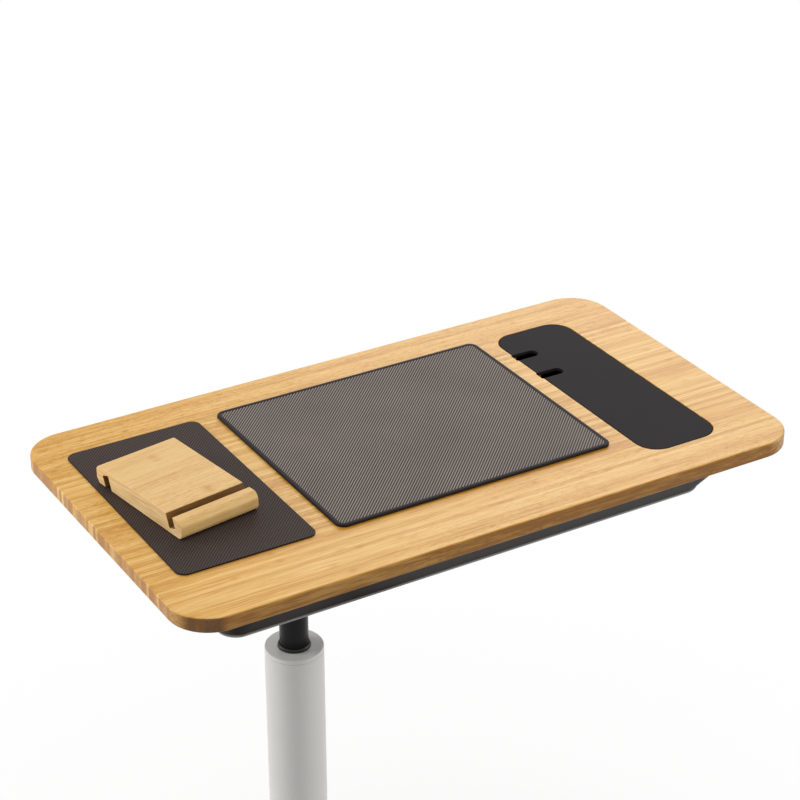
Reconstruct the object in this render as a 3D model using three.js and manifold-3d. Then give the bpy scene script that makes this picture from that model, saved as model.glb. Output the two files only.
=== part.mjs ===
// Bike trainer desk: a bamboo tabletop with a cable tray on a gas-lift column,
// carried by a wheeled base that is open towards the rider.
// Millimetres, +Z up, +X to the rider's right, +Y away from the rider.
// The floor is z = 0 and the tabletop is centred on x = 0, y = 0.

import * as THREE from 'three';
import { mergeVertices } from 'three/addons/utils/BufferGeometryUtils.js';
import Module from 'manifold-3d';

const wasm = await Module();
wasm.setup();

// Shared fits and cuts.

const SEAT = 0.3; // left between two pieces that rest on each other
const FIT_GAP = 0.3; // left round a piece that sits in a hole or a pocket
const RUNNING_GAP = 0.45; // left round a piece that turns or slides in a hole
const OVERRUN = 2; // how far a cutting tool runs past the face it cuts
const WELD_DISTANCE = 0.0001; // vertices nearer than this are one vertex

// Facets round a circle, and steps round a corner or an eased edge.
const COLUMN_FACETS = 24;
const WHEEL_FACETS = 16;
const MOUNT_FACETS = 16;
const BOLT_FACETS = 10;
const HEX = 6;
const CORNER_STEPS = 4;
const SMALL_CORNER_STEPS = 2;
const EDGE_STEPS = 2;

// Tabletop.

const BOARD_WIDTH = 711;
const BOARD_DEPTH = 402;
const BOARD_THICKNESS = 16;
const BOARD_CORNER = 44;
const BOARD_EDGE_ROUND = 2;

// The flush lid over the cable bay, placed by its middle.
const LID_X = 241.4;
const LID_Y = -1.7;
const LID_WIDTH = 92.5;
const LID_DEPTH = 302.5;
const LID_CORNER = 24;
const LID_THICKNESS = 4;
const LID_EDGE_ROUND = 0.6;
const LID_SIDE_GAP = 0.9;
const LEDGE_WIDTH = 6;

// Two slots run in from the lid's left edge and notch the wood beside it.
const SLOT_WIDTH = 14;
const SLOT_REACH = 28;
const SLOT_NOTCH = 2.5;
const NOTCH_CORNER = 3;
const FIRST_SLOT_Y = 48.5;
const SLOT_SPACING = 49.5;

// The mats. The laptop mat is placed by its middle, and the left mat stands
// off from its left edge.
const MAT_SPACING = 21.8;
const LEFT_MAT_Y = 15.2;
const LEFT_MAT_WIDTH = 150;
const LEFT_MAT_DEPTH = 268.5;
const LEFT_MAT_THICKNESS = 1.5;
const LEFT_MAT_CORNER = 10.5;
const LEFT_MAT_EDGE_ROUND = 0.5;

const LAPTOP_MAT_X = 9.5;
const LAPTOP_MAT_Y = 15;
const LAPTOP_MAT_WIDTH = 324;
const LAPTOP_MAT_DEPTH = 271;
const LAPTOP_MAT_THICKNESS = 3;
const LAPTOP_MAT_CORNER = 10;
const LAPTOP_MAT_EDGE_ROUND = 1;
const LAPTOP_MAT_RIM = 4.5;
const LAPTOP_MAT_SINK = 0.5;

// Phone stand.

// The block is the same either way up. Its front left corner is placed from the
// middle of the left mat, and it is turned a little.
const STAND_LEFT_OF_MAT = 45.6;
const STAND_AHEAD_OF_MAT = 79.7;
const STAND_TURN = THREE.MathUtils.degToRad(8.7);
const STAND_WIDTH = 92;
const STAND_LENGTH = 150;
const STAND_THICKNESS = 19.9;
const STAND_EDGE_ROUND = 1;
const GROOVE_FROM_NOSE = 16;
const GROOVE_MOUTH = 10.9;
const GROOVE_LEAN = THREE.MathUtils.degToRad(20.5);
const GROOVE_FLOOR = 4.9;
const NOSE_HEIGHT = 14.1;
const NOSE_SLOPE = 0.5;
const NOSE_TOP_BACK = 4.6;
const NOSE_TOP_ROUND = 2.4;
const NOSE_ROUND = 3;
const FOOT_ROUND = 7;
const GROOVE_ROUND = 1.4;

// Cable tray.

const TRAY_DEPTH = 63.5;
const TRAY_SHEET = 1.5;
const TRAY_FLOOR_HALF_WIDTH = 286;
const TRAY_FLOOR_HALF_DEPTH = 134.5;
const TRAY_DRAFT = 46;
const TRAY_CORNER = 22;
const TRAY_BOTTOM_ROUND = 5.5;
const TRAY_FLANGE = 13;

// Fasteners.

const BOLT_RADIUS = 3;
const BOLT_HEAD_RADIUS = 5.7;
const BOLT_HEAD_HEIGHT = 4;
const BOLT_TAIL = 3;

// Column.

const COLUMN_X = -143;

// Steel hat section that stands on the tray's floor and carries the board.
const BRACKET_WIDTH = 110;
const BRACKET_DEPTH = 120;
const BRACKET_SHEET = 3;
const BRACKET_FLANGE = 22;
const BRACKET_BOLT_X = 42;
const BRACKET_BOLT_Y = 40;

// Casting that is bolted under the tray and clamps the pole.
const HUB_PLATE = 5;
const HUB_PLATE_MARGIN = 13;
const HUB_PLATE_CORNER = 10;
const HUB_RADIUS = 23;
const HUB_GRIP = 42;
const HUB_FOOT_ROUND = 2.5;
const HUB_FILLET = 5;

// Release lever, its pin and the valve pin that it presses.
const LEVER_DROP = 24;
const LEVER_SECTION = 8;
const LEVER_REACH = 128;
const LEVER_INNER_END = 5;
const LEVER_PIVOT_ARM = 19;
const LEVER_SIDE_GAP = 0.8;
const LEVER_LIFT_ROOM = 5;
const LEVER_PIN_RADIUS = 2;
const LEVER_PIN_INSET = 1.5;
const GRIP_LENGTH = 62;
const GRIP_COVER = 50;
const GRIP_WIDTH = 16;
const GRIP_HEIGHT = 13;
const GRIP_ROUND = 3;
const RELEASE_PIN_RADIUS = 3;
const RELEASE_PIN_REACH = 4;
const RELEASE_PIN_TAIL = 8;
const RELEASE_PIN_COLLAR = 5;
const RELEASE_PIN_COLLAR_HEIGHT = 2;

const SET_SCREW_RADIUS = 3;
const SET_SCREW_INSET = 0.8;
const SET_SCREW_PITCH = 16;

// Moving pole of the gas lift, and what slides in it.
const POLE_RADIUS = 15.4;
const POLE_WALL = 1.8;
const POLE_LENGTH = 500;
const POLE_TOP_THICKNESS = 6;
const GLAND_HEIGHT = 12;
const ROD_RADIUS = 5;
const PISTON_HEIGHT = 20;
const PISTON_GRIP = 14;
const PISTON_ABOVE_GLAND = 292;

// Outer column, the sleeve that guides the pole, and the pale cap.
const COLUMN_RADIUS = 31.5;
const COLUMN_WALL = 2;
const COLUMN_LENGTH = 614.7;
const CAP_THICKNESS = 5;
const CAP_EDGE_ROUND = 1;
const SLEEVE_LENGTH = 110;
const SLEEVE_RING = 18;
const SLEEVE_WALL = 3;
const SLEEVE_COLLAR_WALL = 1.2;
const SLEEVE_COLLAR_HEIGHT = 4;
const CAP_TO_TABLETOP = 207; // at rest, from the cap's face to the tabletop

const FOOT_THICKNESS = 6;
const FOOT_LENGTH = 130;
const FOOT_CORNER = 8;
const FOOT_SIDE_MARGIN = 2;
const FOOT_SPIGOT_HEIGHT = 12;
const FOOT_SPIGOT_WALL = 5;
const ROD_BOSS_RADIUS = 11;
const ROD_BOSS_HEIGHT = 22;
const FOOT_BOLT_RADIUS = 4;
const FOOT_BOLT_HEAD_RADIUS = 6.4;
const FOOT_BOLT_HEAD_HEIGHT = 5;
const FOOT_BOLT_X = 17;
const FOOT_BOLT_Y = 52;

// Base.

const RAIL_WIDTH = 60;
const RAIL_HEIGHT = 30;
const RAIL_WALL = 2;
const RAIL_CORNER = 4;
const BASE_LENGTH = 690;
const RIGHT_RAIL_X = 243;
const REAR_RAIL_INSET = 45; // from the base's rear end to the rear rail's middle
const PLUG_FLANGE = 3;
const PLUG_INSERT = 14;
const PLUG_INSERT_WALL = 2.5;

// Casters.

const CASTER_INSET = 65; // from the base's end to the swivel's axis
const WHEEL_RADIUS = 25;
const WHEEL_WIDTH = 20;
const TYRE_THICKNESS = 6;
const TYRE_SHOULDER = 2.5;
const TYRE_LIP = 1.2;
const CORE_WEB = 7;
const CORE_RIM = 3;
const CORE_HUB_RADIUS = 8;
const CORE_HUB_OVERHANG = 0.8;
const AXLE_RADIUS = 3;
const AXLE_HEAD_RADIUS = 5.5;
const AXLE_HEAD_HEIGHT = 2.5;
const WHEEL_SIDE_GAP = 0.7;
const WHEEL_TOP_GAP = 4;
const FORK_SHEET = 3;
const FORK_TRAIL = 20;
const FORK_FRONT = 15;
const FORK_BACK = 23;
const FORK_CROWN_BACK = 8;
const FORK_CHEEK_DROP = 8;
const FORK_EYE_RADIUS = 8.5;
const SWIVEL_GAP = 0.5;
const KINGPIN_RADIUS = 4;
const KINGPIN_HEAD_RADIUS = 7.5;
const KINGPIN_HEAD_HEIGHT = 2.4;
const MOUNT_THICKNESS = 4;
const MOUNT_RADIUS = 22;
const MOUNT_STEM_RADIUS = 5;
const MOUNT_STEM_HEIGHT = 12;

// Brake pedal, measured out from the wheel's axle.
const PEDAL_PIVOT_OUT = 18;
const PEDAL_PIVOT_UP = 25.2;
const PEDAL_TRUNNION_RADIUS = 2.4;
const PEDAL_SIDE_GAP = 1;
const PEDAL_REACH = 24;
const PEDAL_THICKNESS = 3.6;
const PEDAL_DROOP = 5.4;
const SHOE_RADIUS_GAP = 2.8;
const SHOE_DEGREES = [38, 47, 61]; // where the shoe faces the tyre, from level

// Places that follow.

const casterY = BASE_LENGTH / 2 - CASTER_INSET;
const rearRailY = BASE_LENGTH / 2 - REAR_RAIL_INSET;
const laptopMatLeft = LAPTOP_MAT_X - LAPTOP_MAT_WIDTH / 2;
const leftMatX = laptopMatLeft - MAT_SPACING - LEFT_MAT_WIDTH / 2;
const standX = leftMatX - STAND_LEFT_OF_MAT;
const standY = LEFT_MAT_Y - STAND_AHEAD_OF_MAT;

// Heights that follow.

const axleHeight = WHEEL_RADIUS * Math.cos(Math.PI / WHEEL_FACETS);
const crownBottom = axleHeight + WHEEL_RADIUS + WHEEL_TOP_GAP;
const crownTop = crownBottom + FORK_SHEET;
const mountBottom = crownTop + SWIVEL_GAP;
const mountTop = mountBottom + MOUNT_THICKNESS;
const railBottom = mountTop + SEAT;
const railTop = railBottom + RAIL_HEIGHT;
const footBottom = railTop + SEAT;
const footTop = footBottom + FOOT_THICKNESS;
const columnBottom = footTop + SEAT;
const columnTop = columnBottom + COLUMN_LENGTH;
const capBottom = columnTop + SEAT;
const capTop = capBottom + CAP_THICKNESS;
const tabletopHeight = capTop + CAP_TO_TABLETOP;

// Heights in the desk's own group, whose zero is the tabletop's face.
const boardBottom = -BOARD_THICKNESS;
const trayTop = boardBottom - SEAT;
const trayBottom = trayTop - TRAY_DEPTH;
const trayFloor = trayBottom + TRAY_SHEET;
const bracketBottom = trayFloor + SEAT;
const bracketTop = boardBottom - SEAT;
const hubTop = trayBottom - SEAT;
const hubPlateBottom = hubTop - HUB_PLATE;
const leverHeight = hubPlateBottom - LEVER_DROP;
const releasePinTop = leverHeight - LEVER_SECTION / 2 - SEAT;
const poleTop = releasePinTop - RELEASE_PIN_REACH;
const hubBottom = poleTop - HUB_GRIP;
const poleBottom = poleTop - POLE_LENGTH;
const poleBore = POLE_RADIUS - POLE_WALL;
const standBottom = SEAT + LEFT_MAT_THICKNESS + SEAT;

// Making solids.

// Closes a geometry: one vertex at each place, no empty triangles, and every
// face turned outwards.
function closed(source) {
  const bare = source.clone();
  for (const name of Object.keys(bare.attributes)) {
    if (name !== 'position') {
      bare.deleteAttribute(name);
    }
  }
  const welded = mergeVertices(bare, WELD_DISTANCE);
  const index = welded.index.array;
  const kept = [];
  for (let i = 0; i < index.length; i += 3) {
    const [a, b, c] = [index[i], index[i + 1], index[i + 2]];
    if (a !== b && b !== c && c !== a) {
      kept.push(a, b, c);
    }
  }
  const p = welded.attributes.position;
  const [u, v, w] = [new THREE.Vector3(), new THREE.Vector3(), new THREE.Vector3()];
  let volume = 0;
  for (let i = 0; i < kept.length; i += 3) {
    u.fromBufferAttribute(p, kept[i]);
    v.fromBufferAttribute(p, kept[i + 1]);
    w.fromBufferAttribute(p, kept[i + 2]);
    volume += u.dot(v.cross(w));
  }
  if (volume < 0) {
    kept.reverse();
  }
  welded.setIndex(kept);
  return welded;
}

function solid(source) {
  const geometry = closed(source);
  return new wasm.Manifold(new wasm.Mesh({
    numProp: 3,
    vertProperties: new Float32Array(geometry.attributes.position.array),
    triVerts: new Uint32Array(geometry.index.array),
  }));
}

function geometryOf(body) {
  const mesh = body.getMesh();
  const geometry = new THREE.BufferGeometry();
  geometry.setAttribute('position', new THREE.BufferAttribute(mesh.vertProperties, 3));
  geometry.setIndex(new THREE.BufferAttribute(mesh.triVerts, 1));
  return geometry;
}

// The first geometry with the others cut out of it.
function cut(first, ...tools) {
  return geometryOf(tools.reduce((body, tool) => body.subtract(solid(tool)), solid(first)));
}

// All the geometries joined, whether they meet or stay apart.
function join(first, ...others) {
  return geometryOf(others.reduce((body, other) => body.add(solid(other)), solid(first)));
}

// Plain shapes.

function roundedRect(width, depth, corner, x = 0, y = 0) {
  const [l, r] = [x - width / 2, x + width / 2];
  const [f, b] = [y - depth / 2, y + depth / 2];
  const c = Math.min(corner, width / 2, depth / 2);
  const shape = new THREE.Shape();
  shape.moveTo(l + c, f);
  shape.lineTo(r - c, f);
  shape.absarc(r - c, f + c, c, -Math.PI / 2, 0);
  shape.lineTo(r, b - c);
  shape.absarc(r - c, b - c, c, 0, Math.PI / 2);
  shape.lineTo(l + c, b);
  shape.absarc(l + c, b - c, c, Math.PI / 2, Math.PI);
  shape.lineTo(l, f + c);
  shape.absarc(l + c, f + c, c, Math.PI, Math.PI * 1.5);
  return shape;
}

// A polygon whose corners are eased, each by its own distance.
function easedPolygon(points) {
  const shape = new THREE.Shape();
  const count = points.length;
  points.forEach(([x, y, ease], i) => {
    const here = new THREE.Vector2(x, y);
    const before = new THREE.Vector2(...points[(i + count - 1) % count]);
    const after = new THREE.Vector2(...points[(i + 1) % count]);
    const inward = before.sub(here).setLength(ease).add(here);
    const outward = after.sub(here).setLength(ease).add(here);
    if (i === 0) {
      shape.moveTo(inward.x, inward.y);
    } else {
      shape.lineTo(inward.x, inward.y);
    }
    if (ease > 0) {
      shape.quadraticCurveTo(x, y, outward.x, outward.y);
    }
  });
  shape.closePath();
  return shape;
}

// A flat shape given thickness, with its edges eased by round.
function plate(shape, bottom, top, round = 0, curveSegments = CORNER_STEPS) {
  const geometry = new THREE.ExtrudeGeometry(shape, {
    depth: top - bottom - round * 2,
    bevelEnabled: round > 0,
    bevelThickness: round,
    bevelSize: round,
    bevelOffset: -round,
    bevelSegments: EDGE_STEPS,
    curveSegments,
  });
  return geometry.translate(0, 0, bottom + round);
}

// An upright round bar between two heights.
function post(radius, bottom, top, facets = BOLT_FACETS) {
  const geometry = new THREE.CylinderGeometry(radius, radius, top - bottom, facets);
  return geometry.rotateX(Math.PI / 2).translate(0, 0, (bottom + top) / 2);
}

// A round bar that lies along Y.
function barAlongY(radius, front, back, facets = BOLT_FACETS) {
  const geometry = new THREE.CylinderGeometry(radius, radius, back - front, facets);
  return geometry.translate(0, (front + back) / 2, 0);
}

// A round bar that lies along X.
function barAlongX(radius, left, right, facets = BOLT_FACETS) {
  const geometry = new THREE.CylinderGeometry(radius, radius, right - left, facets);
  return geometry.rotateZ(Math.PI / 2).translate((left + right) / 2, 0, 0);
}

// A turned piece about Z from [radius, height] points. The outline closes on
// itself, or starts and ends on the axis.
function turned(outline, facets = COLUMN_FACETS) {
  const points = outline.map(([radius, height]) => new THREE.Vector2(radius, height));
  return new THREE.LatheGeometry(points, facets).rotateX(Math.PI / 2);
}

// A ring with square edges about Z.
function ring(inner, outer, bottom, top, facets = COLUMN_FACETS) {
  return turned([[inner, bottom], [outer, bottom], [outer, top], [inner, top],
    [inner, bottom]], facets);
}

function box(left, right, front, back, bottom, top) {
  const geometry = new THREE.BoxGeometry(right - left, back - front, top - bottom);
  return geometry.translate((left + right) / 2, (front + back) / 2, (bottom + top) / 2);
}

// A rectangular tube that lies along Y, open at both ends.
function tubeAlongY(length) {
  const outer = roundedRect(RAIL_WIDTH, RAIL_HEIGHT, RAIL_CORNER);
  const [width, height] = [RAIL_WIDTH - RAIL_WALL * 2, RAIL_HEIGHT - RAIL_WALL * 2];
  outer.holes.push(roundedRect(width, height, RAIL_CORNER - RAIL_WALL));
  const geometry = plate(outer, -length / 2, length / 2, 0, SMALL_CORNER_STEPS);
  return geometry.rotateX(Math.PI / 2).translate(0, 0, railBottom + RAIL_HEIGHT / 2);
}

// Looks.

function look(color, roughness, metalness = 0) {
  return { color, roughness, metalness };
}

const BAMBOO = look(0xe0b377, 0.5);
const BAMBOO_BLOCK = look(0xe3bd86, 0.55);
const MAT_CLOTH = look(0x38312e, 0.75);
const LID_BLACK = look(0x3a383a, 0.7);
const TRAY_BLACK = look(0x2e2a2b, 0.45);
const POLE_BLACK = look(0x161516, 0.3, 0.3);
const MOULDED_BLACK = look(0x1b1b1c, 0.55);
const PALE_GREY = look(0xbcbab6, 0.5);
const BASE_BLACK = look(0x232324, 0.5);
const CAST_GREY = look(0x55565a, 0.5, 0.6);
const ZINC = look(0xb4b6b8, 0.35, 0.9);
const STEEL = look(0x9fa1a4, 0.3, 0.9);
const TYRE_GREY = look(0x4a4a4c, 0.8);

const trainerDesk = new THREE.Group();

function piece(parent, name, geometry, finish) {
  const mesh = new THREE.Mesh(closed(geometry), new THREE.MeshStandardMaterial(finish));
  mesh.geometry.computeVertexNormals();
  mesh.name = name;
  parent.add(mesh);
  return mesh;
}

function groupAt(parent, x, y, z) {
  const group = new THREE.Group();
  group.position.set(x, y, z);
  parent.add(group);
  return group;
}

// Base rails.

const railLength = BASE_LENGTH - (PLUG_FLANGE + SEAT) * 2;
const stemHole = MOUNT_STEM_RADIUS + FIT_GAP;
const footBoltHole = FOOT_BOLT_RADIUS + FIT_GAP;

// The four corners of a bolt pattern, as steps along X and Y.
const corners = [['front_left', -1, -1], ['front_right', 1, -1], ['rear_right', 1, 1],
  ['rear_left', -1, 1]];
const footBoltPlaces = corners.map(([name, x, y]) =>
  [name, x * FOOT_BOLT_X, y * FOOT_BOLT_Y]);

const stemHoles = [-casterY, casterY].map((y) => post(stemHole, railBottom - OVERRUN,
  railBottom + RAIL_WALL + OVERRUN, MOUNT_FACETS).translate(0, y, 0));
const footHoles = footBoltPlaces.map(([, x, y]) =>
  post(footBoltHole, railTop - RAIL_WALL - OVERRUN, railTop + OVERRUN).translate(x, y, 0));

const leftSide = groupAt(trainerDesk, COLUMN_X, 0, 0);
const rightSide = groupAt(trainerDesk, RIGHT_RAIL_X, 0, 0);
piece(leftSide, 'base_left_rail', cut(tubeAlongY(railLength), ...stemHoles, ...footHoles),
  BASE_BLACK);
piece(rightSide, 'base_right_rail', cut(tubeAlongY(railLength), ...stemHoles), BASE_BLACK);

const rearRailLength = RIGHT_RAIL_X - COLUMN_X - RAIL_WIDTH - SEAT * 2;
const rearRail = groupAt(trainerDesk, (COLUMN_X + RIGHT_RAIL_X) / 2, rearRailY, 0);
piece(rearRail, 'base_rear_rail', tubeAlongY(rearRailLength).rotateZ(Math.PI / 2), BASE_BLACK);

// A moulded plug: a flange over the tube's end and a hollow insert in it.
function railPlug() {
  const middle = railBottom + RAIL_HEIGHT / 2;
  const flange = plate(roundedRect(RAIL_WIDTH, RAIL_HEIGHT, RAIL_CORNER),
    0, PLUG_FLANGE, 0, SMALL_CORNER_STEPS);
  const clear = (RAIL_WALL + FIT_GAP) * 2;
  const [width, height] = [RAIL_WIDTH - clear, RAIL_HEIGHT - clear];
  const insert = roundedRect(width, height, RAIL_CORNER - RAIL_WALL);
  insert.holes.push(roundedRect(width - PLUG_INSERT_WALL * 2, height - PLUG_INSERT_WALL * 2,
    PLUG_INSERT_WALL));
  const sleeve = plate(insert, PLUG_FLANGE / 2, PLUG_FLANGE + PLUG_INSERT, 0, 1);
  const plug = join(flange, sleeve).rotateX(-Math.PI / 2);
  return plug.translate(0, -BASE_LENGTH / 2, middle);
}

for (const [side, name] of [[leftSide, 'left'], [rightSide, 'right']]) {
  piece(side, `rail_plug_front_${name}`, railPlug(), MOULDED_BLACK);
  piece(side, `rail_plug_rear_${name}`, railPlug().rotateZ(Math.PI), MOULDED_BLACK);
}

// Casters.

const forkInside = WHEEL_WIDTH / 2 + CORE_HUB_OVERHANG + WHEEL_SIDE_GAP;
const forkOutside = forkInside + FORK_SHEET;
const tyreInner = WHEEL_RADIUS - TYRE_THICKNESS;
const pivotY = FORK_TRAIL + PEDAL_PIVOT_OUT;
const pivotZ = axleHeight + PEDAL_PIVOT_UP;

function casterMount() {
  const headTop = crownBottom - SWIVEL_GAP;
  const headBottom = headTop - KINGPIN_HEAD_HEIGHT;
  return turned([
    [0, headBottom], [KINGPIN_HEAD_RADIUS, headBottom], [KINGPIN_HEAD_RADIUS, headTop],
    [KINGPIN_RADIUS, headTop], [KINGPIN_RADIUS, mountBottom], [MOUNT_RADIUS, mountBottom],
    [MOUNT_RADIUS, mountTop], [MOUNT_STEM_RADIUS, mountTop],
    [MOUNT_STEM_RADIUS, mountTop + MOUNT_STEM_HEIGHT], [0, mountTop + MOUNT_STEM_HEIGHT],
  ], MOUNT_FACETS);
}

// Two cheeks and a crown, folded from one sheet.
function casterFork(braked) {
  const back = braked ? FORK_TRAIL + FORK_BACK : FORK_TRAIL + FORK_CROWN_BACK;
  const side = new THREE.Shape();
  side.moveTo(-FORK_FRONT, crownTop);
  side.lineTo(-FORK_FRONT, crownTop - FORK_CHEEK_DROP);
  side.lineTo(FORK_TRAIL - FORK_EYE_RADIUS, axleHeight);
  side.absarc(FORK_TRAIL, axleHeight, FORK_EYE_RADIUS, -Math.PI, 0);
  side.lineTo(back, crownTop - FORK_CHEEK_DROP - (braked ? PEDAL_TRUNNION_RADIUS : 0));
  side.lineTo(back, crownTop);
  side.closePath();
  // The outline's first axis becomes Y and its second Z, the thickness X.
  const cheek = (left) => plate(side, left, left + FORK_SHEET, 0, SMALL_CORNER_STEPS)
    .rotateX(Math.PI / 2).rotateZ(Math.PI / 2);
  const crown = box(-forkOutside, forkOutside, -FORK_FRONT, FORK_TRAIL + FORK_CROWN_BACK,
    crownBottom, crownTop);
  const body = join(cheek(-forkOutside), cheek(forkInside), crown);
  const through = [-forkOutside - OVERRUN, forkOutside + OVERRUN];
  const axleHole = barAlongX(AXLE_RADIUS + FIT_GAP, ...through)
    .translate(0, FORK_TRAIL, axleHeight);
  const kingpinHole = post(KINGPIN_RADIUS + RUNNING_GAP, crownBottom - OVERRUN,
    crownTop + OVERRUN, MOUNT_FACETS);
  const pivotHole = barAlongX(PEDAL_TRUNNION_RADIUS + RUNNING_GAP, ...through)
    .translate(0, pivotY, pivotZ);
  return cut(body, axleHole, kingpinHole, ...(braked ? [pivotHole] : []));
}

// Turns a piece made about Z so that it lies along X at the wheel's axle,
// with a flat facet down.
function onAxle(geometry) {
  return geometry.rotateZ(Math.PI / WHEEL_FACETS).rotateY(Math.PI / 2)
    .translate(0, FORK_TRAIL, axleHeight);
}

function wheelTyre() {
  const half = WHEEL_WIDTH / 2;
  return onAxle(turned([
    [tyreInner + FIT_GAP, -half + TYRE_LIP], [WHEEL_RADIUS - TYRE_SHOULDER, -half],
    [WHEEL_RADIUS, -half + TYRE_SHOULDER], [WHEEL_RADIUS, half - TYRE_SHOULDER],
    [WHEEL_RADIUS - TYRE_SHOULDER, half], [tyreInner + FIT_GAP, half - TYRE_LIP],
    [tyreInner + FIT_GAP, -half + TYRE_LIP],
  ], WHEEL_FACETS));
}

function wheelCore() {
  const half = WHEEL_WIDTH / 2 - TYRE_LIP;
  const hub = WHEEL_WIDTH / 2 + CORE_HUB_OVERHANG;
  const bore = AXLE_RADIUS + RUNNING_GAP;
  const web = CORE_WEB / 2;
  return onAxle(turned([
    [bore, -hub], [CORE_HUB_RADIUS, -hub], [CORE_HUB_RADIUS, -web],
    [tyreInner - CORE_RIM, -web], [tyreInner - CORE_RIM, -half], [tyreInner, -half],
    [tyreInner, half], [tyreInner - CORE_RIM, half], [tyreInner - CORE_RIM, web],
    [CORE_HUB_RADIUS, web], [CORE_HUB_RADIUS, hub], [bore, hub], [bore, -hub],
  ], WHEEL_FACETS));
}

function casterAxle() {
  const shoulder = forkOutside + SEAT;
  const head = shoulder + AXLE_HEAD_HEIGHT;
  return onAxle(turned([
    [0, -head], [AXLE_HEAD_RADIUS, -head], [AXLE_HEAD_RADIUS, -shoulder],
    [AXLE_RADIUS, -shoulder], [AXLE_RADIUS, shoulder], [AXLE_HEAD_RADIUS, shoulder],
    [AXLE_HEAD_RADIUS, head], [0, head],
  ], BOLT_FACETS));
}

// The pedal's side view, with the shoe's face set off from the tyre.
function brakePedal() {
  const clear = WHEEL_RADIUS + SHOE_RADIUS_GAP;
  const facing = (degrees) => {
    const turn = THREE.MathUtils.degToRad(degrees);
    return [FORK_TRAIL + clear * Math.cos(turn), axleHeight + clear * Math.sin(turn)];
  };
  const top = pivotZ + PEDAL_TRUNNION_RADIUS + PEDAL_THICKNESS / 2;
  const bottom = pivotZ - PEDAL_TRUNNION_RADIUS;
  const [tip, heel] = [pivotY + PEDAL_REACH, pivotY - PEDAL_PIVOT_OUT / 2];
  const [shoeLow, shoeMid, shoeHigh] = SHOE_DEGREES.map(facing);
  const outline = new THREE.Shape();
  outline.moveTo(heel, top - PEDAL_THICKNESS / 2);
  outline.lineTo(heel, shoeHigh[1]);
  outline.lineTo(...shoeHigh);
  outline.lineTo(...shoeMid);
  outline.lineTo(...shoeLow);
  outline.lineTo(shoeLow[0] + PEDAL_THICKNESS, shoeLow[1] + PEDAL_THICKNESS / 2);
  outline.lineTo(pivotY + PEDAL_THICKNESS * 2, bottom);
  outline.lineTo(tip - PEDAL_THICKNESS / 2, top - PEDAL_DROOP - PEDAL_THICKNESS);
  outline.lineTo(tip, top - PEDAL_DROOP - PEDAL_THICKNESS / 2);
  outline.lineTo(tip - PEDAL_THICKNESS / 2, top - PEDAL_DROOP);
  outline.lineTo(pivotY + PEDAL_THICKNESS, top);
  outline.lineTo(pivotY - PEDAL_THICKNESS, top);
  outline.closePath();
  const half = forkInside - PEDAL_SIDE_GAP;
  const body = plate(outline, -half, half).rotateX(Math.PI / 2).rotateZ(Math.PI / 2);
  const trunnions = barAlongX(PEDAL_TRUNNION_RADIUS, -forkOutside, forkOutside)
    .translate(0, pivotY, pivotZ);
  return join(body, trunnions);
}

const casters = [
  { name: 'front_left', side: leftSide, y: -casterY, turn: Math.PI, braked: true },
  { name: 'front_right', side: rightSide, y: -casterY, turn: Math.PI, braked: true },
  { name: 'rear_left', side: leftSide, y: casterY, turn: 0, braked: false },
  { name: 'rear_right', side: rightSide, y: casterY, turn: 0, braked: false },
];

for (const { name, side, y, turn, braked } of casters) {
  const caster = groupAt(side, 0, y, 0);
  caster.rotation.z = turn;
  piece(caster, `caster_mount_${name}`, casterMount(), ZINC);
  piece(caster, `caster_fork_${name}`, casterFork(braked), BASE_BLACK);
  piece(caster, `caster_axle_${name}`, casterAxle(), ZINC);
  piece(caster, `wheel_core_${name}`, wheelCore(), MOULDED_BLACK);
  piece(caster, `wheel_tyre_${name}`, wheelTyre(), TYRE_GREY);
  if (braked) {
    piece(caster, `brake_pedal_${name}`, brakePedal(), MOULDED_BLACK);
  }
}

// Column foot.

const columnBore = COLUMN_RADIUS - COLUMN_WALL;
const spigotOuter = columnBore - FIT_GAP;
const rodHole = ROD_RADIUS + FIT_GAP;

const footPlate = plate(
  roundedRect(RAIL_WIDTH - FOOT_SIDE_MARGIN * 2, FOOT_LENGTH, FOOT_CORNER),
  footBottom, footTop, 0, SMALL_CORNER_STEPS);
const footSpigot = ring(spigotOuter - FOOT_SPIGOT_WALL, spigotOuter,
  footBottom + FOOT_THICKNESS / 2, footTop + FOOT_SPIGOT_HEIGHT);
const rodBoss = post(ROD_BOSS_RADIUS, footBottom + FOOT_THICKNESS / 2,
  footTop + ROD_BOSS_HEIGHT, COLUMN_FACETS);
const rodSocket = post(rodHole, footTop, footTop + ROD_BOSS_HEIGHT + OVERRUN, COLUMN_FACETS);
const footPlateHoles = footBoltPlaces.map(([, x, y]) =>
  post(footBoltHole, footBottom - OVERRUN, footTop + OVERRUN).translate(x, y, 0));
const columnFoot = cut(join(footPlate, footSpigot, rodBoss), rodSocket, ...footPlateHoles);
piece(leftSide, 'column_foot', columnFoot, BASE_BLACK);

const footBoltBottom = railTop - RAIL_WALL - BOLT_TAIL;
const footHeadBottom = footTop + SEAT;
for (const [name, x, y] of footBoltPlaces) {
  const bolt = join(
    post(FOOT_BOLT_HEAD_RADIUS, footHeadBottom, footHeadBottom + FOOT_BOLT_HEAD_HEIGHT, HEX),
    post(FOOT_BOLT_RADIUS, footBoltBottom, footHeadBottom + FOOT_BOLT_HEAD_HEIGHT / 2),
  );
  piece(leftSide, `foot_bolt_${name}`, bolt.translate(x, y, 0), ZINC);
}

// Outer column, cap and guide sleeve.

piece(leftSide, 'outer_column', ring(columnBore, COLUMN_RADIUS, columnBottom, columnTop),
  PALE_GREY);

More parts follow.
